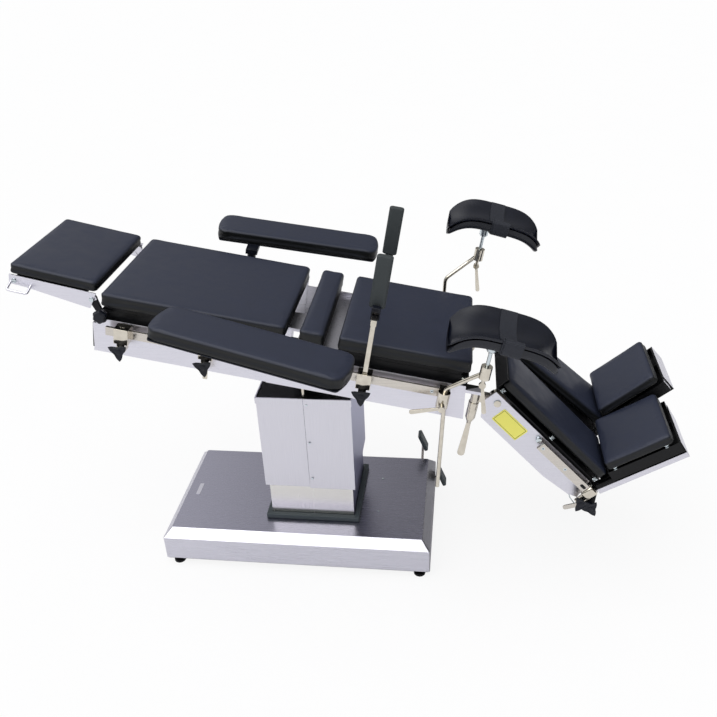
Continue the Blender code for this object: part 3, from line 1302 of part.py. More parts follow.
def make_leg_holder(side, roll):
    """A leg holder: round clamp, its lever, bent rod with barrel, lock lever and saddle."""
    name = SIDE_NAMES[side]
    s, y = HOLDER_CLAMP_S[side], HOLDER_ROD_Y
    half = HOLDER_CLAMP_HALF
    low, high = HOLDER_BODY
    rail_inner = RAIL_FACE - RAIL_THICK
    rail_low = RAIL_TOP - RAIL_HEIGHT
    clamp = Frame(f"holder_clamp_{name}_axis", roll, (s, side * y, RAIL_TOP))
    body = block((s - half, CLAMP_BACK, low), (s + half, y, high))
    drum = cylinder((s, y, low), (0, 0, 1), HOLDER_BODY_RADIUS, high - low)
    reach = half + OVERRUN
    seat = block(
        (s - reach, rail_inner - GAP, rail_low - GAP), (s + reach, RAIL_FACE + GAP, RAIL_TOP + GAP)
    )
    mouth = block(
        (s - reach, CLAMP_BACK - OVERRUN, rail_low + CLAMP_LIP), (s + reach, rail_inner, RAIL_TOP - CLAMP_LIP)
    )
    bend = Vector((s, y, HOLDER_BEND_T))
    upright = Vector((-math.sin(HOLDER_LEAN), 0, math.cos(HOLDER_LEAN)))
    bore = cylinder(bend - upright * HOLDER_LENGTH, upright, bore_for(HOLDER_ROD, FINE_SIDES),
                    HOLDER_LENGTH + 2 * OVERRUN, FINE_SIDES)
    screw_start = y + HOLDER_ROD + OVERRUN
    screw = cylinder((s, screw_start, HUB_T), (0, 1, 0), bore_for(HOLDER_SCREW, FINE_SIDES),
                     HOLDER_BODY_RADIUS, FINE_SIDES)
    mesh = cut(join(body, drum), seat, mouth, bore, screw)
    place(f"holder_clamp_{name}", on_side(mesh, side), clamp, (s, side * y, RAIL_TOP), chrome())

    hub_start = y + HOLDER_BODY_RADIUS + GAP
    hub = cylinder((0, hub_start, 0), (0, 1, 0), HUB_RADIUS, HUB_LENGTH)
    stem_length = hub_start - screw_start + OVERRUN
    stem = cylinder((0, screw_start + GAP, 0), (0, 1, 0), HOLDER_SCREW, stem_length, FINE_SIDES)
    lever = tapered_lever(LEVER_LENGTH, LEVER_WIDTH, LEVER_THICK)
    lever.transform(Matrix.Rotation(-math.pi / 2, 4, "X"))
    lever.transform(Matrix.Rotation(math.pi - LEVER_DROOP, 4, "Y"))
    lever.transform(Matrix.Translation((0, hub_start + HUB_LENGTH / 2, 0)))
    mesh = join(hub, stem, lever)
    mesh.transform(Matrix.Translation((s, 0, HUB_T)))
    place(f"holder_clamp_lever_{name}", on_side(mesh, side), clamp, (s, side * y, HUB_T), chrome())

    bend += upright * HOLDER_RISE[side]
    barrel = bend + Vector(HOLDER_REACH)
    root = bend - upright * HOLDER_LENGTH
    rod = bent_bar(bend_points([root, bend, barrel], HOLDER_BEND), HOLDER_ROD)
    barrel_low = barrel.z - BARREL_HEIGHT / 2
    drum = cylinder((barrel.x, barrel.y, barrel_low), (0, 0, 1), BARREL_RADIUS, BARREL_HEIGHT)
    stem_bore = cylinder((barrel.x, barrel.y, barrel.z), (0, 0, 1), bore_for(SADDLE_STEM, FINE_SIDES),
                         BARREL_HEIGHT, FINE_SIDES)
    lock_bore = cylinder((barrel.x, barrel.y, barrel_low - OVERRUN), (0, 0, 1), bore_for(LOCK_NECK, FINE_SIDES),
                         SADDLE_STEM + OVERRUN, FINE_SIDES)
    slide = Frame(f"holder_rod_{name}_axis", clamp, (s, side * y, 0))
    mesh = cut(join(rod, drum), stem_bore, lock_bore)
    place(f"holder_rod_{name}", on_side(mesh, side), slide, (s, side * y, 0), chrome())

    lock = Frame(f"saddle_lock_{name}_axis", slide, (barrel.x, side * barrel.y, barrel_low))
    neck = cylinder((barrel.x, barrel.y, barrel_low - LOCK_EYE_DROP), (0, 0, 1), LOCK_NECK,
                    LOCK_EYE_DROP + SADDLE_STEM - GAP, FINE_SIDES)
    eye_start = (barrel.x, barrel.y - LEVER_THICK, barrel_low - LOCK_EYE_DROP)
    eye = cylinder(eye_start, (0, 1, 0), LOCK_EYE, 2 * LEVER_THICK)
    blade = tapered_lever(LOCK_BLADE, LEVER_WIDTH, LEVER_THICK)
    blade.transform(Matrix.Rotation(-math.pi / 2, 4, "X"))
    blade.transform(Matrix.Rotation(math.pi / 2 - LOCK_HANG, 4, "Y"))
    blade.transform(Matrix.Translation((barrel.x, barrel.y, barrel_low - LOCK_EYE_DROP)))
    pivot = (barrel.x, side * barrel.y, barrel_low)
    place(f"saddle_lock_lever_{name}", on_side(join(neck, eye, blade), side), lock, pivot, chrome())

    turn = Frame(f"saddle_{name}_axis", slide, (barrel.x, side * barrel.y, barrel.z + BARREL_HEIGHT / 2))
    pivot = (barrel.x, side * barrel.y, barrel.z + BARREL_HEIGHT / 2)
    stem_low = barrel.z + GAP
    stem = cylinder((barrel.x, barrel.y, stem_low), (0, 0, 1), SADDLE_STEM,
                    BARREL_HEIGHT / 2 + SADDLE_STEM_LENGTH, FINE_SIDES)
    socket_low = pivot[2] + SADDLE_STEM_LENGTH / 2
    socket = cylinder((barrel.x, barrel.y, socket_low), (0, 0, 1), SADDLE_SOCKET, SADDLE_STEM_LENGTH)
    shell = saddle_shell()
    lean = Matrix.Rotation(SADDLE_LEAN, 4, "Y")
    seat_t = pivot[2] + SADDLE_STEM_LENGTH + SADDLE_THICK
    shift = Matrix.Translation((SADDLE_SHIFT, 0, 0))
    shell.transform(Matrix.Translation((barrel.x, barrel.y, seat_t)) @ lean @ shift)
    place(f"saddle_{name}", on_side(join(shell, stem, socket), side), turn, pivot, upholstery())


def saddle_shell():
    """The trough that a lower leg rests in, its length along X, its ends curled down."""
    bm = bmesh.new()
    rings = []
    for i in range(SADDLE_STEPS + 1):
        share = -1 + 2 * i / SADDLE_STEPS
        x = SADDLE_HALF_LENGTH * share
        drop = SADDLE_CURL[share > 0] * abs(share) ** 3
        width = SADDLE_HALF_WIDTH * (1 - SADDLE_TAPER * share**4)
        edge = 1 - abs(share) ** 8 / 2
        inner, outer = [], []
        for k in range(SADDLE_STEPS + 1):
            v = -1 + 2 * k / SADDLE_STEPS
            level = SADDLE_DISH * v**2 - drop
            thick = SADDLE_THICK * edge * (1 - abs(v) ** 6 / 5)
            inner.append((x, width * v, level))
            outer.append((x, width * v, level - thick))
        rings.append([bm.verts.new(point) for point in inner + outer[::-1]])
    for ring, other in zip(rings, rings[1:]):
        bridge(bm, ring, other)
    count = SADDLE_STEPS + 1
    for ring in (rings[0], rings[-1]):
        for k in range(SADDLE_STEPS):
            bm.faces.new((ring[k], ring[k + 1], ring[2 * count - 2 - k], ring[2 * count - 1 - k]))
    return mesh_from(bm)


def splay_posts():
    """The seat deck's tabs at its foot end and the two posts that the leg sections hang on."""
    low, high = -TRAY_DROP - DECK + STEP, -TRAY_DROP - STEP
    half = SPLAY_TAB
    pieces = []
    for side in (NEAR, FAR):
        tab = block((SEAT_PANEL[1] - DECK, SPLAY_Y - half, low), (SPLAY_S + half, SPLAY_Y + half, high))
        length = low - POST_STEM_BOTTOM + DECK / 2
        stem = cylinder((SPLAY_S, SPLAY_Y, POST_STEM_BOTTOM), (0, 0, 1), POST_STEM, length)
        pieces += [on_side(tab, side), on_side(stem, side)]
    return pieces


def make_leg_section(side, roll):
    """One leg section: splay bracket, its lock lever, the leg frame and its pad."""
    name = SIDE_NAMES[side]
    splay = Frame(f"splay_{name}_axis", roll, (SPLAY_S, side * SPLAY_Y, 0))
    top = -TRAY_DROP - DECK - GAP
    collar = cylinder((SPLAY_S, SPLAY_Y, POST_COLLAR[0]), (0, 0, 1), POST_SMALL, top - POST_COLLAR[0])
    s, t = LEG_PIVOT
    arm = block((SPLAY_S, BRACKET_Y[0], BRACKET_ARM[0]), (s, BRACKET_Y[1], BRACKET_ARM[1]))
    disc = cylinder((s, BRACKET_Y[0], t), (0, 1, 0), BRACKET_ROUND, BRACKET_Y[1] - BRACKET_Y[0])
    axle_start, axle_end = LEG_LUG[0] - OVERRUN, PANEL_FACE + GAP
    axle = cylinder((s, axle_start, t), (0, 1, 0), LEG_AXLE, axle_end + OVERRUN / 2 - axle_start)
    head = cylinder((s, axle_end, t), (0, 1, 0), BOLT_HEAD, BOLT_HEAD_THICK)
    bore = cylinder((SPLAY_S, SPLAY_Y, POST_COLLAR[0] - OVERRUN), (0, 0, 1), bore_for(POST_STEM),
                    top - POST_COLLAR[0] + 2 * OVERRUN)
    pivot = (SPLAY_S, side * SPLAY_Y, 0)
    mesh = cut(join(collar, arm, disc, axle, head), bore)
    place(f"leg_bracket_{name}", on_side(mesh, side), splay, pivot, chrome())

    high = POST_COLLAR[0] - GAP
    low = POST_COLLAR[1]
    profile = [(0, POST_CONE), (POST_NECK, POST_CONE), (POST_NECK, POST_CONE + OVERRUN), (POST_LARGE, low)]
    profile += [(POST_LARGE, high), (0, high)]
    barrel = turned(profile, (SPLAY_S, SPLAY_Y, 0), (0, 0, 1))
    bore = cylinder((SPLAY_S, SPLAY_Y, POST_STEM_BOTTOM - GAP), (0, 0, 1), bore_for(POST_STEM),
                    high - POST_STEM_BOTTOM + OVERRUN)
    blade = tapered_lever(POST_CONE - LOCK_LEVER_END + OVERRUN, LOCK_LEVER_WIDTH, LEVER_THICK)
    blade.transform(Matrix.Rotation(-math.pi / 2, 4, "X"))
    blade.transform(Matrix.Rotation(math.pi / 2, 4, "Y"))
    blade.transform(Matrix.Translation((SPLAY_S, SPLAY_Y, POST_CONE + OVERRUN)))
    mesh = cut(join(barrel, blade), bore)
    lever = Frame(f"splay_lever_{name}_axis", splay, (SPLAY_S, side * SPLAY_Y, high))
    place(f"splay_lever_{name}", on_side(mesh, side), lever, (SPLAY_S, side * SPLAY_Y, high), chrome())

    leg = Frame(f"leg_{name}_axis", splay, (s, 0, t), (0, LEG_DROP[side], 0), own_origin=True)
    make_leg_frame(side, name, leg)
    return leg


def make_leg_frame(side, name, leg):
    inner = PANEL_FACE - PANEL_SHEET
    pieces = [prism(LEG_PANEL, 1, inner, PANEL_FACE)]
    low, high = LEG_TRAY_PLATE
    start, end = LEG_TRAY
    reach = inner + PANEL_SHEET / 2
    pieces.append(block((LEG_FLANGE[0], LEG_INNER, low), (end, LEG_PAD_Y[1] - TRAY_WALL, high)))
    flange_end = LEG_FLANGE[0] + TRAY_WALL
    plate_side = LEG_PAD_Y[1] - TRAY_WALL
    pieces.append(block((LEG_FLANGE[0], LEG_INNER, low), (flange_end, plate_side, LEG_FLANGE[1])))
    floor = LEG_TRAY_FLOOR
    wall_top = high - TRAY_WALL / 2
    wall_side, wall_end = LEG_INNER + STEP, end - STEP
    outer_wall = FOOT_LUG[1] - TRAY_WALL
    pan = block((start, wall_side, floor), (wall_end, outer_wall, wall_top))
    inside = block(
        (start + TRAY_WALL, wall_side + TRAY_WALL, floor - OVERRUN),
        (wall_end - TRAY_WALL, outer_wall - TRAY_WALL, wall_top + OVERRUN),
    )
    pieces.append(cut(pan, inside))
    for place_u in (start + TRAY_WALL, (start + end) / 2, end - DECK):
        pieces.append(block((place_u, outer_wall - TRAY_WALL, floor), (place_u + DECK, reach, floor + DECK)))
    lug_start, lug_end = LEG_LUG
    outline = arc((0, 0), LEG_LUG_ROUND, 180, 360, 8)
    outline += [(LEG_LUG_ROUND, high - TRAY_WALL / 2), (-LEG_LUG_ROUND, high - TRAY_WALL / 2)]
    pieces.append(prism(outline, 1, lug_start, lug_end))
    u, w = FOOT_PIVOT
    knob_u, knob_w = LEG_KNOB
    round_end = 2 * KNOB_NECK
    outline = arc((u, w), FOOT_LUG_ROUND, 20, 90, 4)
    outline += [(end - TRAY_WALL, w + FOOT_LUG_ROUND), (end - TRAY_WALL, floor - DECK)]
    outline += arc((knob_u, knob_w), round_end, 215, 380, 8)
    pieces.append(prism(outline, 1, FOOT_LUG[0], FOOT_LUG[1]))
    along = (Vector(GRIP_TIP) - Vector(LEG_KNOB)).normalized()
    beside = Vector((-along.y, along.x)) * GRIP_HALF
    root = Vector(LEG_KNOB)
    tip_angle = math.degrees(math.atan2(along.y, along.x))
    outline = [tuple(root + beside), tuple(root - beside)]
    outline += arc(GRIP_TIP, GRIP_HALF, tip_angle - 90, tip_angle + 90, 6)
    pieces.append(prism(outline, 1, GRIP_Y[0], GRIP_Y[1]))
    outline = arc((u, w), FOOT_LUG_ROUND, -90, 90, 8)
    outline += [(end - TRAY_WALL, w + FOOT_LUG_ROUND), (end - TRAY_WALL, floor), (u - FOOT_LUG_ROUND, floor)]
    pieces.append(prism(outline, 1, LEG_INNER + DECK, LEG_INNER + 2 * DECK))
    axle_start = LEG_INNER + DECK
    axle_length = FOOT_LUG[1] - axle_start - OVERRUN
    pieces.append(cylinder((u, axle_start, w), (0, 1, 0), FOOT_AXLE, axle_length, FINE_SIDES))
    begin, finish = LEG_RAIL
    places = (begin + SPACER_INSET / 2, finish - SPACER_INSET / 2)
    pieces += rail(begin, finish, LEG_RAIL_TOP, inner + PANEL_SHEET / 2, places)
    solid = join(*pieces)
    axle_reach = PANEL_FACE - lug_start + 2 * OVERRUN
    axle = cylinder((0, lug_start - OVERRUN, 0), (0, 1, 0), bore_for(LEG_AXLE), axle_reach)
    screw = cylinder((LEG_KNOB[0], FOOT_LUG[0] - OVERRUN, LEG_KNOB[1]), (0, 1, 0), bore_for(KNOB_SCREW, FINE_SIDES),
                     FOOT_LUG[1] - FOOT_LUG[0] + 2 * OVERRUN, FINE_SIDES)
    place(f"leg_frame_{name}", on_side(cut(solid, axle, screw), side), leg, (0, 0, 0), stainless())

    bottom, top = LEG_PAD_LEVEL
    pad = cushion((LEG_PAD[0], LEG_PAD_Y[0], bottom), (LEG_PAD[1], LEG_PAD_Y[1], top))
    place(f"leg_pad_{name}", on_side(pad, side), leg, (0, 0, 0), upholstery())
    stem = FOOT_LUG[1] - FOOT_LUG[0]
    size = LEG_KNOB_SIZE
    mesh = knob(KNOB_RADIUS * size, KNOB_HOLLOW * size, KNOB_THICK, KNOB_LOBES, stem, LEG_KNOB_STAND)
    knob_y = FOOT_LUG[1] + LEG_KNOB_STAND + GAP
    put_knob(f"foot_knob_{name}", mesh, side, leg, (LEG_KNOB[0], knob_y, LEG_KNOB[1]))


def foot_pockets():
    """The hollows in a foot tray's open side, between its ribs."""
    start, end = FOOT_TRAY
    near, far = FOOT_TRAY_Y
    low, high = FOOT_TRAY_LEVEL
    wide = (end - start - (POCKETS + 1) * TRAY_WALL) / POCKETS
    deep = (far - near - (POCKETS + 1) * TRAY_WALL) / POCKETS
    pockets = []
    for i in range(POCKETS):
        for k in range(POCKETS):
            u = start + TRAY_WALL + i * (wide + TRAY_WALL)
            v = near + TRAY_WALL + k * (deep + TRAY_WALL)
            pockets.append(block((u, v, low + FOOT_FLOOR), (u + wide, v + deep, high + OVERRUN)))
    return pockets


def make_foot_section(side, leg):
    """One foot section: its arm, strip and tray, and its pad."""
    name = SIDE_NAMES[side]
    u, w = FOOT_PIVOT
    foot = Frame(f"foot_{name}_axis", leg, (u, 0, w), (0, -FOOT_RISE[side], 0), own_origin=True)
    start, end = FOOT_STRIP
    half = FOOT_STRIP_HALF
    inner = PANEL_FACE - PANEL_SHEET
    arm_start = LEG_INNER + 2 * DECK + GAP
    arm_end = FOOT_LUG[0] - GAP
    low, high = FOOT_TRAY_LEVEL
    pieces = []
    hub = FOOT_LUG_ROUND - OVERRUN
    seat = low + TRAY_WALL
    tube_start = arm_start + DECK
    tube = cylinder((0, tube_start, 0), (0, 1, 0), hub - STEP, arm_end - DECK - tube_start)
    pieces.append(tube)
    rim = math.degrees(math.asin(half / hub))
    outline = arc((0, 0), hub, rim, 360 - rim, SIDES)
    outline += [(end - TRAY_WALL / 2, -half), (end - TRAY_WALL / 2, seat)]
    outline += [(FOOT_TRAY[0], seat), (FOOT_TRAY[0], half)]
    for span in ((arm_end - 2 * DECK, arm_end), (arm_start, arm_start + 2 * DECK)):
        pieces.append(prism(outline, 1, span[0], span[1]))
    pieces.append(block((FOOT_LUG_ROUND + OVERRUN, inner, -half + STEP), (end - STEP, PANEL_FACE, half)))
    pieces.append(block((end - TRAY_WALL, arm_start - STEP, -half), (end, PANEL_FACE - STEP, high)))
    pieces.append(block((FOOT_TRAY[0], FOOT_TRAY_Y[0], low), (FOOT_TRAY[1], FOOT_TRAY_Y[1], high)))
    cross_end = inner + PANEL_SHEET / 2
    pieces.append(block((FOOT_TRAY[0], arm_end - DECK, -half + STEP), (end - TRAY_WALL, cross_end, half - STEP)))
    bore = cylinder((0, 0, 0), (0, 1, 0), bore_for(FOOT_AXLE, FINE_SIDES), PANEL_FACE, FINE_SIDES)
    pockets = foot_pockets()
    mesh = cut(join(*pieces), bore, *pockets)
    place(f"foot_frame_{name}", on_side(mesh, side), foot, (0, 0, 0), black_steel())
    bottom = high + GAP
    top = bottom + FOOT_PAD_HEIGHT
    pad = cushion((FOOT_PAD[0], FOOT_PAD_Y[0], bottom), (FOOT_PAD[1], FOOT_PAD_Y[1], top))
    place(f"foot_pad_{name}", on_side(pad, side), foot, (0, 0, 0), upholstery())


def main():
    for old in list(bpy.data.objects):
        bpy.data.objects.remove(old)
    make_base_frame()
    make_base_housing()
    make_pedals()
    make_lower_column()
    lift = Frame("lift_axis", None, (COLUMN_X, 0, 0))
    make_upper_column(lift)
    make_push_rod(lift)
    tilt = Frame(
        "tilt_axis", lift, (COLUMN_X, 0, PIVOT_Z), turn=(0, REST_TILT, 0), own_origin=True
    )
    tilt.origin = Vector((0, 0, -PIVOT_TO_PADS))
    make_tilt_block(tilt)
    roll = Frame("roll_axis", tilt, (0, 0, -PIVOT_TO_PADS))
    make_seat_frame(roll)
    make_seat_pad(roll)
    kidney = Frame("kidney_axis", roll, (kidney_middle(), 0, 0))
    make_kidney_bridge(kidney)
    back = Frame("back_axis", roll, (BACK_HINGE[0], 0, BACK_HINGE[1]))
    make_back_section(back)
    head = Frame("head_axis", back, (HEAD_PIVOT[0], 0, HEAD_PIVOT[1]), (0, HEAD_LIFT, 0), own_origin=True)
    make_head_section(head)
    mesh = knob(STAR_KNOB_RADIUS, STAR_KNOB_HOLLOW, STAR_KNOB_THICK, STAR_LOBES, KNOB_BORE)
    put_knob("head_knob", mesh, NEAR, back, (STAR_KNOB[0], STAR_KNOB_FACE, STAR_KNOB[1]))
    make_spare_clamp(back)
    for side in (NEAR, FAR):
        make_arm_board(side, back)
        make_body_support(side, roll)
        make_leg_holder(side, roll)
        make_foot_section(side, make_leg_section(side, roll))
    bpy.context.view_layer.update()


main()
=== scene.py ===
"""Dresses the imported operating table: a finish for every part, stuffed pads, leg troughs with
their straps, moulded knobs and small fittings, and a pale studio to show it in."""

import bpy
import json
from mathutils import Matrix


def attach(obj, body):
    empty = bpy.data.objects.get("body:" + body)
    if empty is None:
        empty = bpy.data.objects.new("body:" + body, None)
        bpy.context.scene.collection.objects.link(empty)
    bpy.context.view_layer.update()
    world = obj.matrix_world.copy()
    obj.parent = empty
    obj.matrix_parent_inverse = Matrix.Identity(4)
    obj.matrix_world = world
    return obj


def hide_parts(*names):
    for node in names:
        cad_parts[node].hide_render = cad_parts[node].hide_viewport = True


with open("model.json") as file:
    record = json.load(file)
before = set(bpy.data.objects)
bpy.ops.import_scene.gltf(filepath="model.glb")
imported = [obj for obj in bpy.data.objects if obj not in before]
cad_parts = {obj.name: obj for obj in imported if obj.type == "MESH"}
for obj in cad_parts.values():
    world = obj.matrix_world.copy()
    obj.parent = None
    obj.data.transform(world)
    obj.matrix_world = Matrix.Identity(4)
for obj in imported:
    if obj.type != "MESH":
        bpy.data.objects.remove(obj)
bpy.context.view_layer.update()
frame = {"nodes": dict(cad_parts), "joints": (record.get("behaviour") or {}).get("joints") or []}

import json
import math

import bpy
import numpy as np
from bpy.props import FloatProperty, FloatVectorProperty, IntProperty, PointerProperty
from bpy.types import Operator, Panel, PropertyGroup
from mathutils import Matrix, Vector

bl_info = {
    "name": "Operating Table Finishes",
    "version": (1, 0, 0),
    "blender": (4, 5, 0),
    "location": "3D View > Sidebar > Table",
    "description": "Finishes, pads and fittings of an electric operating table",
    "category": "Object",
}

SIDES = {"near": -1, "far": 1}
TABLE_TILT = math.radians(10.4)
HEAD_TILT = math.radians(13.3)
LEG_TILT = {"near": math.radians(46.6), "far": math.radians(41.4)}
FOOT_TILT = {"near": math.radians(-32.6), "far": math.radians(-41.1)}
ARM_SWING = {"near": math.radians(-9.0), "far": math.radians(5.0)}
DECK_ORIGIN = (0.07964812, 0.0, 0.92884767)
FLOOR_LEVEL = -0.030
MM = 0.001


def vectors_of(items, key):
    """One vector of each vertex or face of a mesh, as rows of an array."""
    flat = np.empty(len(items) * 3, np.float32)
    items.foreach_get(key, flat)
    return flat.reshape(-1, 3).astype(float)


def joint_place(name):
    """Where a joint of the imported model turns, at rest."""
    return next(joint["pos_m"] for joint in frame["joints"] if joint["name"] == name)


class Section:
    """A flat part of the table: u runs along it towards the foot end, v across, w up out of it."""

    def __init__(self, origin, tilt, swing=0.0):
        self.turn = np.array(Matrix.Rotation(tilt, 3, "Y") @ Matrix.Rotation(swing, 3, "Z"))
        self.origin = np.array(origin, float)

    def place(self, points):
        """Points of the section in the shared frame: turned, then moved to the origin."""
        return np.asarray(points, float) @ self.turn.T + self.origin

    def aim(self, direction):
        """A direction of the section in the shared frame."""
        return self.turn @ np.array(direction, float)

    def box(self, node):
        """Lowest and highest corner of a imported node, measured along the section's own axes."""
        local = (vectors_of(frame["nodes"][node].data.vertices, "co") - self.origin) @ self.turn
        return local.min(0), local.max(0)


DECK = Section(DECK_ORIGIN, TABLE_TILT)
HEAD = Section(joint_place("head_hinge"), HEAD_TILT)
LEGS = {side: Section(joint_place(f"leg_hinge_{side}"), LEG_TILT[side]) for side in SIDES}
FEET = {side: Section(joint_place(f"foot_hinge_{side}"), FOOT_TILT[side]) for side in SIDES}
ARMS = {
    side: Section(joint_place(f"arm_board_swing_{side}"), TABLE_TILT, ARM_SWING[side])
    for side in SIDES
}
SADDLES = {side: Section(joint_place(f"saddle_turn_{side}"), TABLE_TILT) for side in SIDES}
SUPPORTS = {side: Section(joint_place(f"support_pad_tilt_{side}"), TABLE_TILT) for side in SIDES}
LEVEL = Section((0, 0, 0), 0.0)


# Finishes


def linear(code):
    """The linear colour of an sRGB hex value such as #a0b1c2."""
    parts = [int(code[i : i + 2], 16) / 255 for i in (1, 3, 5)]
    return tuple(p / 12.92 if p <= 0.04045 else ((p + 0.055) / 1.055) ** 2.4 for p in parts)


def add(tree, kind, settings=None, values=None, links=None):
    """A new node with its settings, its unlinked values and its links."""
    node = tree.nodes.new(kind)
    for name, value in (settings or {}).items():
        setattr(node, name, value)
    for name, value in (values or {}).items():
        node.inputs[name].default_value = value
    for name, socket in (links or {}).items():
        tree.links.new(socket, node.inputs[name])
    return node


def rgba(colour):
    """A shader's colour from an sRGB code or from a setting, which is linear already."""
    return (*(linear(colour) if isinstance(colour, str) else colour), 1)


def blend(tree, factor, low, high):
    """The colour between two by a factor; the second may be another node's socket."""
    values, links = {"A": rgba(low)}, {"Factor": factor}
    if isinstance(high, bpy.types.NodeSocket):
        links["B"] = high
    else:
        values["B"] = rgba(high)
    return add(tree, "ShaderNodeMix", {"data_type": "RGBA"}, values, links).outputs["Result"]


def spread(tree, value, span, onto):
    """A value carried from one range onto another."""
    ends = dict(zip(("From Min", "From Max", "To Min", "To Max"), (*span, *onto)))
    return add(tree, "ShaderNodeMapRange", None, ends, {"Value": value}).outputs["Result"]


def emboss(tree, shader, height, strength, distance):
    """Give a shader the relief of a height, on top of any relief that it has."""
    below = [link.from_socket for link in shader.inputs["Normal"].links]
    size = {"Strength": strength, "Distance": distance}
    relief = add(tree, "ShaderNodeBump", None, size, {"Height": height})
    for socket in below:
        tree.links.new(socket, relief.inputs["Normal"])
    tree.links.new(relief.outputs["Normal"], shader.inputs["Normal"])


def finish(name, **values):
    """A named material with one Principled shader: the material, its tree and the shader."""
    made = bpy.data.materials.new(name)
    made.use_nodes = True
    tree = made.node_tree
    tree.nodes.clear()
    shader = add(tree, "ShaderNodeBsdfPrincipled", values=values)
    add(tree, "ShaderNodeOutputMaterial", links={"Surface": shader.outputs["BSDF"]})
    return made, tree, shader


NOISE_SPAN = (0.3, 0.7)  # where nearly all of a noise's values lie


def patterned(name, low, high, rough, scale, bump, detail=3.0, turn=0.0, metal=0.0, **values):
    """A finish whose colour and roughness wander with a noise in object space.

    low and high are the two colours, rough the roughness range, scale the noise's cells per
    metre along each axis, and bump the height of the relief in metres.
    """
    made, tree, shader = finish(name, Metallic=metal, **values)
    place = add(tree, "ShaderNodeTexCoord").outputs["Object"]
    turned = {"Scale": scale, "Rotation": (0, turn, 0)}
    mapping = add(tree, "ShaderNodeMapping", None, turned, {"Vector": place})
    cells = {"Scale": 1.0, "Detail": detail, "Roughness": 0.6}
    noise = add(
        tree, "ShaderNodeTexNoise", None, cells, {"Vector": mapping.outputs["Vector"]}
    ).outputs["Fac"]
    tree.links.new(blend(tree, noise, low, high), shader.inputs["Base Color"])
    tree.links.new(spread(tree, noise, NOISE_SPAN, rough), shader.inputs["Roughness"])
    emboss(tree, shader, noise, 1.0, bump)
    return made, tree, shader


GRIT = (8.0, 500.0)  # cells per metre along and across the grit lines


def brushed(name, low, high, rough, along=(1, 0, 0), turn=0.0):
    """Brushed stainless sheet: grit lines a few tenths of a millimetre apart run along one way.

    They are drawn 2 mm apart and 120 mm long, as coarse as they need to show.
    """
    scale = tuple(GRIT[0] if part else GRIT[1] for part in along)
    return patterned(name, low, high, rough, scale, 0.02 * MM, turn=turn, metal=1.0)[0]


def pad_skin(name, low, high, side=None, rough=(0.40, 0.50), shine=0.27):
    """Moulded polyurethane skin over foam: a soft satin black-blue with a fine pebble grain.

    The grain's cells are about 1 mm across and are drawn 2.5 mm wide, and a slow mottling
    50 mm wide stands for where hands and cleaning have polished it. The sides wear a deeper
    black that is painted shade, mixed in by the mesh's own "rise" values, which grow as the
    skin faces upwards.
    """
    shine = {"Specular IOR Level": shine}
    made, tree, shader = patterned(name, low, high, rough, (20,) * 3, 0.3 * MM, 2.0, **shine)
    place = add(tree, "ShaderNodeTexCoord").outputs["Object"]
    soft = {"feature": "SMOOTH_F1"}
    cells = add(tree, "ShaderNodeTexVoronoi", soft, {"Scale": 400.0}, {"Vector": place})
    emboss(tree, shader, cells.outputs["Distance"], 0.5, 0.06 * MM)
    # side is the colour of painted shade on the skin's sides, under the top's colour where the skin
    # faces up
    if side:
        rise = add(tree, "ShaderNodeAttribute", {"attribute_name": "rise"}).outputs["Fac"]
        top = shader.inputs["Base Color"].links[0].from_socket
        tree.links.new(blend(tree, rise, side, top), shader.inputs["Base Color"])
    return made


def webbing():
    """Nylon strap webbing: ribs 1.6 mm apart across the strap, each thread a soft round."""
    shine = {"Specular IOR Level": 0.3}
    made, tree, shader = finish("nylon strap webbing", Roughness=0.62, **shine)
    uv = add(tree, "ShaderNodeUVMap", {"uv_map": "strap"}).outputs["UV"]
    bands = {"wave_type": "BANDS", "bands_direction": "X"}
    ribs = {"Scale": 100.0, "Distortion": 0.6, "Detail": 1.0}
    wave = add(tree, "ShaderNodeTexWave", bands, ribs, {"Vector": uv}).outputs["Fac"]
    tree.links.new(blend(tree, wave, "#101116", "#373a44"), shader.inputs["Base Color"])
    emboss(tree, shader, wave, 0.8, 0.3 * MM)
    return made


def moulded(name, low, high, rough, grain=900.0, bump=0.05 * MM, spec=0.4):
    """Moulded plastic or rubber with the fine spark texture of its mould, about 1 mm across."""
    shine = {"Specular IOR Level": spec}
    return patterned(name, low, high, rough, (grain,) * 3, bump, **shine)[0]


def plated(name, low, high, rough, scale=45.0):
    """Bright plated castings: smooth, with the slow waves that polishing leaves, 20 mm apart."""
    return patterned(name, low, high, rough, (scale,) * 3, 0.35 * MM, detail=1.0, metal=1.0)[0]


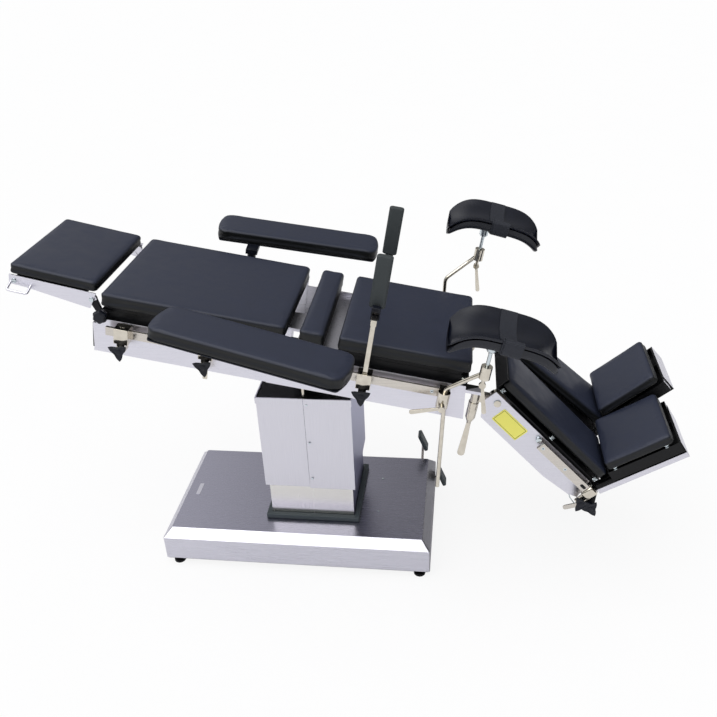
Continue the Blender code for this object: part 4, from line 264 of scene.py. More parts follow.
def make_finishes():
    """Every finish by a short name: two colours, a roughness range and the pattern's own sizes."""
    deck, legs = -TABLE_TILT, -math.radians(44)
    across, upright = (0, 1, 0), (0, 0, 1)
    steel, film, streaks = "brushed stainless", "moulded polyurethane", (120, 120, 6)
    return {
        "panel": brushed(f"{steel} panel", "#cfced8", "#e6e5ec", (0.26, 0.38), turn=deck),
        "leg panel": brushed(
            f"{steel} leg panel", "#cbcad3", "#e2e1e8", (0.26, 0.38), turn=legs
        ),
        "rail": brushed("satin stainless rail", "#b9b4ae", "#dcd6cc", (0.18, 0.28), turn=deck),
        "column": brushed(f"{steel} column cover", "#cdccd4", "#e0dfe6", (0.30, 0.40), upright),
        # a darker, bluer copy of the column's steel for its faces towards the foot end: painted
        # shade
        "column end shade": brushed(f"{steel} column end shade", "#8a8ba8", "#a3a4c0", (0.30, 0.42), upright),
        "base side": brushed(f"{steel} base skirt", "#c2c1ca", "#dddce5", (0.24, 0.36)),
        # darker copies of the skirt's steel: painted shade on the base's end faces, and on its top
        # a painted reflection of the dark table above
        "base end shade": brushed(f"{steel} base end shade", "#9a999f", "#b3b2b9", (0.26, 0.38), across),
        "base top reflection": brushed(f"{steel} base top reflection", "#9b9aa9", "#acabba", (0.22, 0.32)),
        "lower cover": patterned(
            "bright stainless lower cover", "#d4d2ce", "#e6e4e0", (0.22, 0.28), streaks, 0.0,
            metal=1.0,
        )[0],
        "chrome": plated("polished nickel plate", "#bdb6a8", "#e2dccf", (0.06, 0.12)),
        "zinc": plated("bright zinc plate", "#bcc6ca", "#dbe3e6", (0.18, 0.28), 200.0),
        "black steel": moulded(
            "black powder coat", "#050507", "#0b0c0f", (0.40, 0.50), 1200.0, spec=0.25
        ),
        "rubber": moulded("black rubber", "#394145", "#485054", (0.45, 0.55), 700.0),
        "knob": moulded(
            "black moulded nylon", "#0b0e17", "#121622", (0.38, 0.46), 1000.0, spec=0.3
        ),
        "shell": moulded("black moulded shell", "#12141b", "#1b1e28", (0.30, 0.38), 1000.0),
        "support": moulded(
            "black foam rubber", "#34393b", "#424749", (0.55, 0.65), 600.0, 0.12 * MM, 0.3
        ),
        # 0d0f10 is painted shade on the pads' sides
        "skin": pad_skin(f"{film} skin", "#252a3a", "#2c3143", "#0d0f10", shine=0.36),
        "trough skin": pad_skin(
            f"{film} trough skin", "#0c0f19", "#121624", rough=(0.30, 0.38), shine=0.4
        ),
        "strap": webbing(),
        "yellow": moulded(
            "yellow lacquered plate", "#ece669", "#f3ee78", (0.30, 0.38), 300.0, 0.01 * MM
        ),
        "plate": brushed("satin aluminium name plate", "#c8c7d2", "#dddce6", (0.25, 0.35)),
    }


FINISHES = {}


# Surfaces


def skin(rings, loop=False):
    """A closed surface from rings of points, rings[i, j], with quads between the rings.

    Rings that follow a closed path, as a strap's do, join up again; others get a fan at each end.
    """
    rings = np.asarray(rings, float)
    rows, count = rings.shape[:2]
    points = rings.reshape(-1, 3)
    i, j = np.meshgrid(np.arange(rows if loop else rows - 1), np.arange(count), indexing="ij")
    k, m = (j + 1) % count, (i + 1) % rows
    quads = np.stack([i * count + j, i * count + k, m * count + k, m * count + j], -1)
    faces = quads.reshape(-1, 4).tolist()
    if not loop:
        ring = np.arange(count)
        after, last = (ring + 1) % count, (rows - 1) * count
        middle = np.full(count, rows * count)
        faces += np.stack([middle, after, ring], -1).tolist()
        faces += np.stack([middle + 1, last + ring, last + after], -1).tolist()
        points = np.vstack([points, rings[0].mean(0), rings[-1].mean(0)])
    return outward(points, faces)


def outward(points, faces):
    """The same surface with its faces turned outwards, by the sign of its volume."""
    corner = np.array([face[:3] for face in faces])
    other = np.array([(face[0], face[2], face[-1]) for face in faces])
    volume = 0.0
    for part in (corner, other):
        a, b, c = (points[part[:, n]] for n in range(3))
        volume += np.einsum("ij,ij->", a, np.cross(b, c))
    if volume < 0:
        faces = [face[::-1] for face in faces]
    return points, faces


def together(parts):
    """Several surfaces as one list of points and faces."""
    points, faces, start = [], [], 0
    for part_points, part_faces in parts:
        points.append(part_points)
        faces += [[n + start for n in face] for face in part_faces]
        start += len(part_points)
    return np.vstack(points), faces


def mesh_of(name, points, faces):
    """A new mesh from points and faces."""
    mesh = bpy.data.meshes.new(name)
    mesh.from_pydata(np.asarray(points).tolist(), [], faces)
    return mesh


def shown_as(name, data):
    """A new object that holds some data, in the scene's own collection."""
    made = bpy.data.objects.new(name, data)
    bpy.context.scene.collection.objects.link(made)
    return made


def piece(name, parts, body, material, replaces=(), uv=None, smooth=60.0):
    """A mesh object from surfaces in world metres, riding a body and wearing a finish."""
    points, faces = together(parts)
    mesh = mesh_of(name, points, faces)
    mesh.polygons.foreach_set("use_smooth", [True] * len(faces))
    if uv is not None:
        layer = mesh.uv_layers.new(name="strap")
        corners = np.empty(len(mesh.loops), np.int32)
        mesh.loops.foreach_get("vertex_index", corners)
        layer.uv.foreach_set("vector", np.asarray(uv)[corners].ravel())
    mesh.set_sharp_from_angle(angle=math.radians(smooth))
    mesh.materials.append(FINISHES[material])
    made = shown_as(name, mesh)
    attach(made, body)
    if replaces:
        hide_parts(*replaces)
    return made


def frame_round(axis):
    """Two unit vectors square to an axis and to each other, and the axis itself."""
    axis = np.array(axis, float) / np.linalg.norm(axis)
    helper = np.array((0, 0, 1.0)) if abs(axis[2]) < 0.9 else np.array((1.0, 0, 0))
    across = np.cross(helper, axis)
    across /= np.linalg.norm(across)
    return across, np.cross(axis, across), axis


def around(count):
    """Angles in equal steps once round."""
    return np.arange(count) * 2 * math.pi / count


def lathe(profile, centre, axis, count=24, stretch=1.0):
    """A profile of (radius, height) pairs turned about an axis, its radius stretched by angle."""
    across, up, axis = frame_round(axis)
    profile = np.array(profile, float)
    angle = around(count)
    radius = profile[:, :1] * stretch
    ring = np.cos(angle)[:, None] * across + np.sin(angle)[:, None] * up
    return skin(np.array(centre) + radius[..., None] * ring + profile[:, 1, None, None] * axis)


def run_along(path):
    """How far along a flat path each of its points lies."""
    return np.append(0, np.cumsum(np.hypot(*np.diff(path, axis=0).T)))


def even_steps(path, count):
    """A closed flat path walked in equal steps."""
    path = np.vstack([path, path[:1]])
    run = run_along(path)
    steps = np.arange(count) * run[-1] / count
    return np.column_stack([np.interp(steps, run, path[:, axis]) for axis in (0, 1)])


OUTLINE_TURN = np.linspace(0, math.pi / 2, 9)


def rounded_outline(half_x, half_y, corner, count=96, bulge=0.0):
    """A rounded rectangle walked in equal steps, its ends bulging by a parabola in y."""
    corner = max(min(corner, half_x * 0.98, half_y * 0.98), 1e-5)
    angles = np.concatenate([OUTLINE_TURN + quarter * math.pi / 2 for quarter in range(4)])
    sign_x = np.repeat([1, -1, -1, 1], len(OUTLINE_TURN))
    sign_y = np.repeat([1, 1, -1, -1], len(OUTLINE_TURN))
    x = corner * np.cos(angles) + sign_x * (half_x - corner)
    y = corner * np.sin(angles) + sign_y * (half_y - corner)
    x, y = even_steps(np.stack([x, y], -1), count).T
    return np.stack([x + np.sign(x) * bulge * (1 - (y / half_y) ** 2), y], -1)


PAD_COUNT = 160  # points round each ring of a pad
PAD_FOOT = 0.004  # radius of a pad's lower edge
PAD_REACH = 0.93  # how far in its last ring lies, as a share of the narrower half


def pad_form(size, corner, edge, draw, crown, bulge):
    """A pad from zero up: a round at the foot, sides that draw in, a rounded top edge, a crown.

    Each ring is the outline set in by an amount that follows the section: a quarter circle at
    the foot, a half sine up the side, a quarter circle at the top and a parabola to the middle.
    """
    half_x, half_y, height = size[0] / 2, size[1] / 2, size[2]
    top = height - crown
    low = np.linspace(-math.pi / 2, 0, 5)
    high = np.linspace(0, math.pi / 2, 7)
    side = np.linspace(0, 1, 7)[1:-1]
    inward = np.linspace(0, 1, 9)[1:]
    reach = min(half_x, half_y) * PAD_REACH
    inset = np.concatenate([
        [reach * 0.9],
        PAD_FOOT * (1 - np.cos(low)),
        draw * np.sin(math.pi * side),
        edge * (1 - np.cos(high)),
        edge + (reach - edge) * inward,
    ])
    level = np.concatenate([
        [0.0],
        PAD_FOOT * (1 + np.sin(low)),
        PAD_FOOT + (top - edge - PAD_FOOT) * side,
        top - edge + edge * np.sin(high),
        top + crown * (1 - (1 - inward) ** 2),
    ])
    rings = []
    for set_in, w in zip(inset, level):
        sizes = half_x - bulge - set_in, half_y - set_in, corner - set_in * 0.6
        ring = rounded_outline(*sizes, PAD_COUNT, bulge * (1 - set_in / half_y))
        rings.append(np.column_stack([ring, np.full(PAD_COUNT, w)]))
    return skin(rings)


def soft_box(low, high, corner, edge, count=32):
    """A box with rounded upright corners and soft top and bottom edges."""
    low, high = np.array(low, float), np.array(high, float)
    half = (high - low) / 2
    middle = (high + low) / 2
    turn = np.linspace(0, math.pi / 2, 4)
    inset = np.concatenate([edge * (1 - np.sin(turn)), edge * (1 - np.cos(turn))])
    under = -half[2] + edge * (1 - np.cos(turn))
    level = np.concatenate([under, half[2] - edge + edge * np.sin(turn)])
    rings = []
    for set_in, w in zip(inset, level):
        ring = rounded_outline(half[0] - set_in, half[1] - set_in, corner, count)
        rings.append(np.column_stack([ring, np.full(count, w)]))
    points, faces = skin(rings)
    return points + middle, faces


def tube(path, radius, count=12):
    """A round bar along a path of points: a circle carried square to the path at every point."""
    path = np.array(path, float)
    ahead = np.gradient(path, axis=0)
    ahead /= np.linalg.norm(ahead, axis=1)[:, None]
    side = frame_round(ahead[0])[0]
    rings, angle = [], around(count)[:, None]
    for spot, way in zip(path, ahead):
        side = side - way * side.dot(way)
        side /= np.linalg.norm(side)
        up = np.cross(way, side)
        rings.append(spot + radius * (np.cos(angle) * side + np.sin(angle) * up))
    return skin(rings)


def moved(part, place):
    """A surface carried by a section's place, or any function of its points."""
    points, faces = part
    return place(points), faces


# Stuffing


NET = 0.005
PINNED_HEIGHT = 0.9 * NET
CLOTH_QUALITY = 4
# below the first value a skin wears its sides' painted shade; over the span it gives way to its
# top's colour
SIDE_SHADE_START, SIDE_SHADE_SPAN = 0.1, 0.8  # upward lean of a skin from its sides' colour to its top's


def netted(name, form):
    """A form as an even net of small quads, NET apart."""
    mesh = mesh_of(name, *form)
    holder = shown_as(name, mesh)
    net = holder.modifiers.new("net", "REMESH")
    net.mode = "VOXEL"
    net.voxel_size = NET
    shown = holder.evaluated_get(bpy.context.evaluated_depsgraph_get())
    even = bpy.data.meshes.new_from_object(shown)
    holder.modifiers.clear()
    holder.data = even
    bpy.data.meshes.remove(mesh)
    return holder


def add_cloth(holder, rest, settings):
    """Cloth that pressure swells from inside, held by the points of the pad's foot."""
    pins = holder.vertex_groups.new(name="foot")
    low = np.nonzero(rest[:, 2] < rest[:, 2].min() + PINNED_HEIGHT)[0]
    pins.add(low.tolist(), 1.0, "REPLACE")
    cloth = holder.modifiers.new("Cloth", "CLOTH")
    cloth.settings.use_pressure = True
    cloth.settings.uniform_pressure_force = settings.pressure
    cloth.settings.effector_weights.gravity = 0
    cloth.settings.quality = CLOTH_QUALITY
    cloth.settings.vertex_group_mass = "foot"
    cloth.point_cache.frame_start = 1
    cloth.point_cache.frame_end = settings.frames


def stuff_all(pads, settings):
    """Swell all pads with cloth in one run of frames, cap how far they move, and place them."""
    scene = bpy.context.scene
    held = []
    for name, form, *where in pads:
        holder = netted(name, form)
        rest = vectors_of(holder.data.vertices, "co")
        held.append((holder, rest, *where))
        add_cloth(holder, rest, settings)
    for step in range(1, settings.frames + 1):
        scene.frame_set(step)
    graph = bpy.context.evaluated_depsgraph_get()
    for holder, rest, section, offset, body, node in held:
        swollen = rest
        shown = holder.evaluated_get(graph)
        swollen = vectors_of(shown.data.vertices, "co")
        holder.modifiers.clear()
        holder.vertex_groups.clear()
        shift = swollen - rest
        length = np.linalg.norm(shift, axis=1)[:, None]
        share = np.minimum(1.0, settings.swell / np.maximum(length, 1e-9))
        world = section.place(rest + shift * share + offset)
        mesh = holder.data
        mesh.vertices.foreach_set("co", world.astype(np.float32).ravel())
        mesh.polygons.foreach_set("use_smooth", [True] * len(mesh.polygons))
        mesh.materials.clear()
        mesh.materials.append(FINISHES["skin"])
        mesh.update()
        # how far each point faces upwards, which the skin's finish uses to paint shade on the pads'
        # sides
        upward = (vectors_of(mesh.vertices, "normal") @ section.turn)[:, 2]
        shade = np.clip((upward - SIDE_SHADE_START) / SIDE_SHADE_SPAN, 0, 1)
        rise = mesh.attributes.new("rise", "FLOAT", "POINT")
        rise.data.foreach_set("value", shade.astype(np.float32))
        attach(holder, body)
        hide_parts(node)
    scene.frame_set(1)


# Sizes and colours that a user would change


class PadSettings(PropertyGroup):
    pressure: FloatProperty(name="Pressure", description="Cloth pressure in a pad", default=2.5)
    frames: IntProperty(name="Frames", description="Frames of the stuffing's run", default=20)
    swell: FloatProperty(
        name="Swell", description="How far a pad's skin may move", default=0.0015, unit="LENGTH"
    )
    edge: FloatProperty(
        name="Edge", description="Radius of a pad's top edge", default=0.010, unit="LENGTH"
    )
    draw: FloatProperty(
        name="Draw", description="How far a pad's sides pull in", default=0.0015, unit="LENGTH"
    )
    crown: FloatProperty(
        name="Crown", description="Rise of a pad's middle", default=0.0015, unit="LENGTH"
    )


class FittingSettings(PropertyGroup):
    screw: FloatProperty(
        name="Screw", description="Radius of a rail screw's head", default=0.006, unit="LENGTH"
    )
    stud: FloatProperty(
        name="Stud", description="Radius of a pad stud's nut", default=0.0085, unit="LENGTH"
    )
    strap_width: FloatProperty(
        name="Strap", description="Width of a trough's strap", default=0.052, unit="LENGTH"
    )
    steel_edge: FloatProperty(
        name="Sheet edge", description="Softened edge of cut steel", default=0.0007, unit="LENGTH"
    )


class StudioSettings(PropertyGroup):
    lamp: FloatProperty(name="Lamp", description="Strength of the soft overhead light", default=2.1)
    world: FloatProperty(
        name="World", description="Strength of the light from all round", default=0.42
    )
    floor: FloatVectorProperty(
        name="Floor", description="Colour of the floor", subtype="COLOR", default=linear("#f2f2f5")
    )


class TableStep(Operator):
    """A step of dressing the table"""

    bl_options = {"REGISTER", "UNDO"}


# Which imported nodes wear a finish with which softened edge, by their names without their side;
# an edge of zero stands for the settings' own
NODE_FINISHES = {
    ("black steel", 0.0): "base_frame foot_frame",
    ("black steel", 0.0005): "kidney_bridge",
    ("black steel", 0.0008): "lift_ram",
    ("black steel", 0.0015): "tilt_block",
    ("base side", 0.0012): "base_housing",
    ("rubber", 0.0030): "column_gasket",
    ("lower cover", 0.0010): "lower_column_cover",
    ("column", 0.0008): "column_cover_left column_cover_right",
    ("panel", 0.0): "seat_frame back_frame head_frame",
    ("leg panel", 0.0): "leg_frame",
    ("rail", 0.0008): "end_pedal side_pedal",
    ("chrome", 0.0005): "tilt_push_rod",
    ("chrome", 0.0006): "holder_rod saddle_lock_lever",
    ("chrome", 0.0008): "arm_clamp support_clamp leg_bracket splay_lever",
    ("chrome", 0.0010): "spare_clamp holder_clamp holder_clamp_lever",
    ("knob", 0.0010): "arm_board",
}


def plain_name(node):
    """A node's name without the side it is on."""
    for side in SIDES:
        node = node.removesuffix(f"_{side}")
    return node


def face_finish(node, section, choose):
    """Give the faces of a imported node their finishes, each chosen from the middle of the face.

    choose takes how far along, across and up the faces lie in the section and which way they
    look, and gives finishes with a mask of the faces that wear them.
    """
    mesh = frame["nodes"][node].data
    u, v, w = ((vectors_of(mesh.polygons, "center") - section.origin) @ section.turn).T
    facing = (vectors_of(mesh.polygons, "normal") @ section.turn).T
    index = np.zeros(len(mesh.polygons), np.int32)
    for number, (material, mask) in enumerate(choose(u, abs(v), w, facing), start=1):
        mesh.materials.append(FINISHES[material])
        index[mask] = number
    mesh.polygons.foreach_set("material_index", index)


MERGE_REACH = 2e-5
SHARP_FROM = math.radians(35)


def dress(shown, material, edge):
    """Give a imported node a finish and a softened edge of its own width."""
    mesh = shown.data
    mesh.materials.clear()
    mesh.materials.append(FINISHES[material])
    mesh.polygons.foreach_set("use_smooth", [True] * len(mesh.polygons))
    merge = shown.modifiers.new("merge", "WELD")
    merge.merge_threshold = MERGE_REACH
    soften = shown.modifiers.new("soften", "BEVEL")
    soften.limit_method = "ANGLE"
    soften.angle_limit = SHARP_FROM
    soften.width = edge
    soften.segments = 2
    soften.use_clamp_overlap = True
    even = shown.modifiers.new("even", "WEIGHTED_NORMAL")
    even.keep_sharp = True


def finish_nodes(settings):
    """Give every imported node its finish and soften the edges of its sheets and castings."""
    wears = {name: pair for pair, names in NODE_FINISHES.items() for name in names.split()}
    for node, shown in frame["nodes"].items():
        if plain_name(node) in wears:
            material, edge = wears[plain_name(node)]
            dress(shown, material, edge or settings.steel_edge)


# Where a node's faces change finish, in metres of its own section
BASE_SHOULDER = 0.12
RAIL_SIDE = 0.262
TRAY_SIDE, TRAY_LEVEL = 0.2385, -0.0405
SEAT_TRAY_START, BACK_TRAY_END = 0.119, -0.09
HEAD_BLOCK, HEAD_BLOCK_TOP = -0.6835, -0.03
HEAD_TRAY_SIDE = 0.2175
PANEL_SIDE = 0.2565
LEG_CLAMP_START, LEG_CLAMP_TOP = 0.44, -0.045
FOOT_SHEET_LEVEL, FOOT_END = 0.0102, 0.333
END_TREAD, SIDE_TREAD = 0.520, 0.145


def split_finishes():
    """The nodes that are steel in one place and coated or bright in another, and the column's and
    the base's faces that wear darker copies of their steel as painted shade and, on the base's top,
    as a painted reflection.
    """
    # the base's top and end faces wear the darker copies: painted reflection on the top, painted
    # shade on the ends
    face_finish("base_housing", LEVEL, lambda u, v, w, n: [
        ("base top reflection", (n[2] > 0.98) & (w > BASE_SHOULDER)),
        ("base end shade", n[0] > 0.5),
    ])
    # the column covers' faces towards the foot end wear the darker copy of their steel as painted
    # shade
    for cover in ("column_cover_left", "column_cover_right", "lower_column_cover"):
        face_finish(cover, LEVEL, lambda u, v, w, n: [("column end shade", n[0] > 0.9)])
    face_finish("seat_frame", DECK, lambda u, v, w, n: [
        ("rail", v > RAIL_SIDE),
        ("black steel", (v < TRAY_SIDE) & (w > TRAY_LEVEL) & (u > SEAT_TRAY_START)),
    ])
    face_finish("back_frame", DECK, lambda u, v, w, n: [
        ("rail", v > RAIL_SIDE),
        ("black steel", (v < TRAY_SIDE) & (w > TRAY_LEVEL) & (w < 0) & (u < BACK_TRAY_END)),
        ("black steel", (u < HEAD_BLOCK) & (w < HEAD_BLOCK_TOP)),
    ])
    face_finish("head_frame", HEAD, lambda u, v, w, n: [("black steel", v < HEAD_TRAY_SIDE)])
    for side in SIDES:
        face_finish(f"leg_frame_{side}", LEGS[side], lambda u, v, w, n: [
            ("rail", v > RAIL_SIDE),
            ("black steel", v < PANEL_SIDE),
            ("rail", (v < PANEL_SIDE) & (u > LEG_CLAMP_START) & (w < LEG_CLAMP_TOP)),
        ])
        face_finish(f"foot_frame_{side}", FEET[side], lambda u, v, w, n: [
            ("leg panel", (v > PANEL_SIDE) & (abs(w) < FOOT_SHEET_LEVEL)),
            ("leg panel", (u > FOOT_END) & (n[0] > 0.5)),
        ])
    face_finish("end_pedal", LEVEL, lambda u, v, w, n: [("rubber", u > END_TREAD)])
    face_finish("side_pedal", LEVEL, lambda u, v, w, n: [("rubber", w > SIDE_TREAD)])


class TABLE_OT_finish_frames(TableStep):
    """Give the steel, plated and coated parts their finishes"""

    bl_idname = "table.finish_frames"
    bl_label = "Finish the Frames"

    def execute(self, context):
        FINISHES.update(make_finishes())
        finish_nodes(context.scene.table_fittings)
        split_finishes()
        return {"FINISHED"}


def box_pad(node, section, body, settings, corner=0.013, bulge=0.0, lift=0.0, tuck=(0, 0), reach=0):
    """A pad to stuff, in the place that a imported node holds.

    lift leaves room below for the studs that it stands on, tuck draws its two long sides in, and
    reach is how far its foot end goes on past the solid's.
    """
    low, high = section.box(node)
    low, high = low + (0, tuck[0], lift), high - (-reach, tuck[1], 0)
    size = high - low - (2 * settings.swell, 2 * settings.swell, settings.swell)
    form = pad_form(size, corner, settings.edge, settings.draw, settings.crown, bulge)
    offset = np.array(((low[0] + high[0]) / 2, (low[1] + high[1]) / 2, low[2]))
    return f"{node}_cushion", form, section, offset, body, node


STUD_ROOM = 0.013
BOARD_THICK = 0.015
BOARD_INSET = 0.012
BOARD_OVERLAP = 0.001
BOARD_EDGES = (0.010, 0.001, 48)
HEAD_TUCK = (-0.010, -0.010)
LEG_TUCK = {"near": (0.007, 0.0), "far": (0.0, 0.007)}
ARM_SHAPE = {"corner": 0.026, "bulge": 0.014}
FOOT_SHAPE = {"lift": STUD_ROOM, "tuck": (-0.002, -0.002), "reach": 0.010}


def pad_board(node, body):
    """The dark board that one of the tabletop's pads stands on, set in from the pad's edge."""
    low, high = DECK.box(node)
    inset = np.array((BOARD_INSET, BOARD_INSET, 0))
    top = np.array((high[0], high[1], low[2] + BOARD_THICK + BOARD_OVERLAP))
    board = soft_box(low + inset, top - inset, *BOARD_EDGES)
    piece(f"{node}_board", [moved(board, DECK.place)], body, "black steel")


class TABLE_OT_stuff_pads(TableStep):
    """Make the tabletop's pads, the arm boards' pads and the leg and foot pads"""

    bl_idname = "table.stuff_pads"
    bl_label = "Stuff the Pads"

    def execute(self, context):
        settings = context.scene.table_pads
        pads = []
        for node, body in (("seat_pad", "table"), ("kidney_pad", "kidney"), ("back_pad", "back")):
            pads.append(box_pad(node, DECK, body, settings, lift=BOARD_THICK))
            pad_board(node, body)
        pads.append(box_pad("head_pad", HEAD, "head", settings, tuck=HEAD_TUCK))
        for side in SIDES:
            for part, sections, body, shape in (
                ("arm", ARMS, "arm_board", ARM_SHAPE),
                ("leg", LEGS, "leg", {"lift": STUD_ROOM, "tuck": LEG_TUCK[side]}),
                ("foot", FEET, "foot", FOOT_SHAPE),
            ):
                node, section = f"{part}_pad_{side}", sections[side]
                pads.append(box_pad(node, section, f"{body}_{side}", settings, **shape))
        stuff_all(pads, settings)
        return {"FINISHED"}


# Leg troughs


TROUGH_HALF_LENGTH = 0.165
TROUGH_HALF_WIDTH = 0.102
TROUGH_NARROWING = (0.12, 0.22)  # towards its head end and its foot end
TROUGH_DISH = 0.034
TROUGH_CURL = (0.064, 0.046)  # how far its head end and its foot end hang down
TROUGH_THICK = 0.028
TROUGH_LEAN = math.radians(5)
TROUGH_SHIFT = 0.034
TROUGH_SEAT = 0.119
TROUGH_ROWS = 49
TROUGH_OVER = np.linspace(0, math.pi, 33)
LINER_THICK = 0.013
LAYER_GAP = 0.0005
SHELL_DISH = 0.016
END_ROUNDING = 16
END_LEAST = 0.12
END_DRAW = 0.07


def trough_level(share, across):
    """Height of the trough's inside: a dish of the square across, curled down by a fourth power."""
    curl = np.where(share > 0, TROUGH_CURL[1], TROUGH_CURL[0])
    return TROUGH_DISH * across**2 - curl * abs(share) ** 4


def shell_level(share, across):
    """Height of the shell's underside: flatter across than the inside, so that its sides stand."""
    return trough_level(share, across) - TROUGH_THICK - (TROUGH_DISH - SHELL_DISH) * across**2


def trough_width(share):
    """Half the trough's width: it narrows towards both ends by a fourth power."""
    narrowing = np.where(share > 0, TROUGH_NARROWING[1], TROUGH_NARROWING[0])
    return TROUGH_HALF_WIDTH * (1 - narrowing * share**4)


# A layer's two heights, how far it stands out past the trough's size, and how square its rim is
LINER = {
    "top": trough_level,
    "bottom": lambda s, v: trough_level(s, v) - LINER_THICK,
    "grow": 0.002,
    "square": 0.22,
}
SHELL = {
    "top": lambda s, v: trough_level(s, v) - LINER_THICK - LAYER_GAP,
    "bottom": shell_level,
    "grow": -0.001,
    "square": 0.12,
}


def trough_ring(share, turn, upper, layer):
    """Across and level of a layer at one share of the length, for turns from rim to rim.

    The top and the underside meet at each rim on a rounded square: the sine of the turn to a
    small power.
    """
    across = -np.cos(turn)
    end = (1 - abs(share) ** END_ROUNDING) ** 0.5
    top, bottom = layer["top"](share, across), layer["bottom"](share, across)
    rounding = abs(np.sin(turn)) ** layer["square"] * max(end, END_LEAST)
    y = (trough_width(share) + layer["grow"]) * across * (1 - END_DRAW + END_DRAW * end)
    return y, (top + bottom) / 2 + upper * (top - bottom) / 2 * rounding


def trough_slab(layer):
    """One layer of the trough: rings that run over its top from rim to rim and back underneath."""
    turn = np.concatenate([TROUGH_OVER, TROUGH_OVER[::-1][1:-1]])
    upper = np.where(np.arange(len(turn)) < len(TROUGH_OVER), 1.0, -1.0)
    rings = []
    for share in np.linspace(-1, 1, TROUGH_ROWS):
        y, level = trough_ring(share, turn, upper, layer)
        x = np.full(len(y), (TROUGH_HALF_LENGTH + layer["grow"]) * share)
        rings.append(np.column_stack([x, y, level]))
    return skin(rings)


def trough_place(side):
    """Carries points of the trough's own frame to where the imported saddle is."""
    section = SADDLES[side]
    cos, sin = math.cos(TROUGH_LEAN), math.sin(TROUGH_LEAN)
    lean = np.array([[cos, 0, sin], [0, 1, 0], [-sin, 0, cos]])

    def place(points):
        shifted = np.asarray(points) + (TROUGH_SHIFT, 0, 0)
        return section.place(shifted @ lean.T + (0, 0, TROUGH_SEAT))

    return place


STRAP_THICK = 0.0036
STRAP_LIFT = 0.0022
STRAP_STEPS = 160
STRAP_TURN = np.linspace(0.02, math.pi - 0.02, 60)  # rim to rim, clear of the rims themselves
STRAP_SMOOTHING = 4
STRAP_MIDDLE, FLAP_MIDDLE = 0.002, 0.010
FLAP_STEPS = np.r_[118:160, 0:8]
FLAP_LIFT = STRAP_LIFT + STRAP_THICK + 0.0002
FLAP_EXTRA = 0.004


def strap_path(lift):
    """Once round the trough's middle, over the liner and back under the shell, in equal steps."""
    over = np.column_stack(trough_ring(0.0, STRAP_TURN, 1.0, LINER))
    under = np.column_stack(trough_ring(0.0, STRAP_TURN[::-1], -1.0, SHELL))
    path = even_steps(np.vstack([over, under]), STRAP_STEPS)
    for _ in range(STRAP_SMOOTHING):
        path = (np.roll(path, 1, 0) + 2 * path + np.roll(path, -1, 0)) / 4
    ahead = np.roll(path, -1, 0) - np.roll(path, 1, 0)
    ahead /= np.linalg.norm(ahead, axis=1)[:, None]
    outside = np.column_stack([-ahead[:, 1], ahead[:, 0]])
    return path + outside * lift, outside


def strap_band(path, outside, middle, width, closed):
    """A flat band along a path: its four corners at every step, and the run for the weave."""
    half, thick = width / 2, STRAP_THICK / 2
    corners = [(-half, -thick), (half, -thick), (half, thick), (-half, thick)]
    run = run_along(path)
    rings = np.stack([
        np.column_stack([np.full(len(path), middle + x), path + outside * out])
        for x, out in corners
    ], 1)
    uv = np.stack([np.column_stack([run, np.full(len(run), x)]) for x, _ in corners], 1)
    if closed:
        return skin(rings, loop=True), uv.reshape(-1, 2)
    return skin(rings), np.vstack([uv.reshape(-1, 2), uv[0].mean(0), uv[-1].mean(0)])


def add_straps(side, settings):
    """The strap round the trough and the flap of its end, which lies over the near rim."""
    place, width = trough_place(side), settings.strap_width
    path, outside = strap_path(STRAP_LIFT)
    band = strap_band(path, outside, STRAP_MIDDLE, width, True)
    path, outside = strap_path(FLAP_LIFT)
    loose = path[FLAP_STEPS], outside[FLAP_STEPS]
    flap = strap_band(*loose, FLAP_MIDDLE, width + FLAP_EXTRA, False)
    for name, (surface, uv) in (("strap", band), ("flap", flap)):
        piece(
            f"trough_{name}_{side}", [moved(surface, place)], f"saddle_{side}", "strap",
            uv=uv, smooth=40,
        )


STEM_UPPER = [(0.0060, 0.050), (0.0120, 0.052), (0.0160, 0.058), (0.0160, 0.098)]


class TABLE_OT_form_troughs(TableStep):
    """Make the leg holders' troughs, their shells, stems and straps"""

    bl_idname = "table.form_troughs"
    bl_label = "Form the Leg Troughs"

    def execute(self, context):
        settings = context.scene.table_fittings
        for side in SIDES:
            place, section, body = trough_place(side), SADDLES[side], f"saddle_{side}"
            liner = moved(trough_slab(LINER), place)
            made = piece(
                f"trough_liner_{side}", [liner], body, "trough skin", (body,)
            )
            shell = moved(trough_slab(SHELL), place)
            piece(f"trough_shell_{side}", [shell], body, "shell")
            profile = [(STEM_UPPER[0][0], section.box(body)[0][2]), *STEM_UPPER]
            stem = lathe(profile, section.origin, section.aim((0, 0, 1)), 32)
            piece(f"trough_stem_{side}", [stem], body, "zinc", smooth=35)
            add_straps(side, settings)
        return {"FINISHED"}


# Knobs


# Radius and height along a knob, as shares of its size and thickness, and how much of the
# hollow each height shows
KNOB_PROFILE = (
    (0.27, 0.0, 0), (0.34, 0.04, 0.15), (0.52, 0.30, 0.6), (0.80, 0.55, 0.9), (0.97, 0.74, 1),
    (1.00, 0.84, 1), (0.985, 0.95, 1), (0.92, 1.00, 1), (0.70, 0.96, 0.9), (0.40, 0.88, 0.4),
    (0.30, 0.90, 0.1), (0.26, 0.97, 0), (0.10, 0.99, 0),
)
KNOB_HOLLOW = 0.52
KNOB_COUNT = 96
STAR_KNOB_EDGE = 0.0012
KNOB_THICK = 0.018
KNOB_SIZE, SMALL_KNOB_SIZE = 0.036, 0.034
KNOB_SPIN = {
    "spare_clamp_knob": 30, "arm_clamp_knob": 34, "support_clamp_knob": 26, "foot_knob": 60,
}


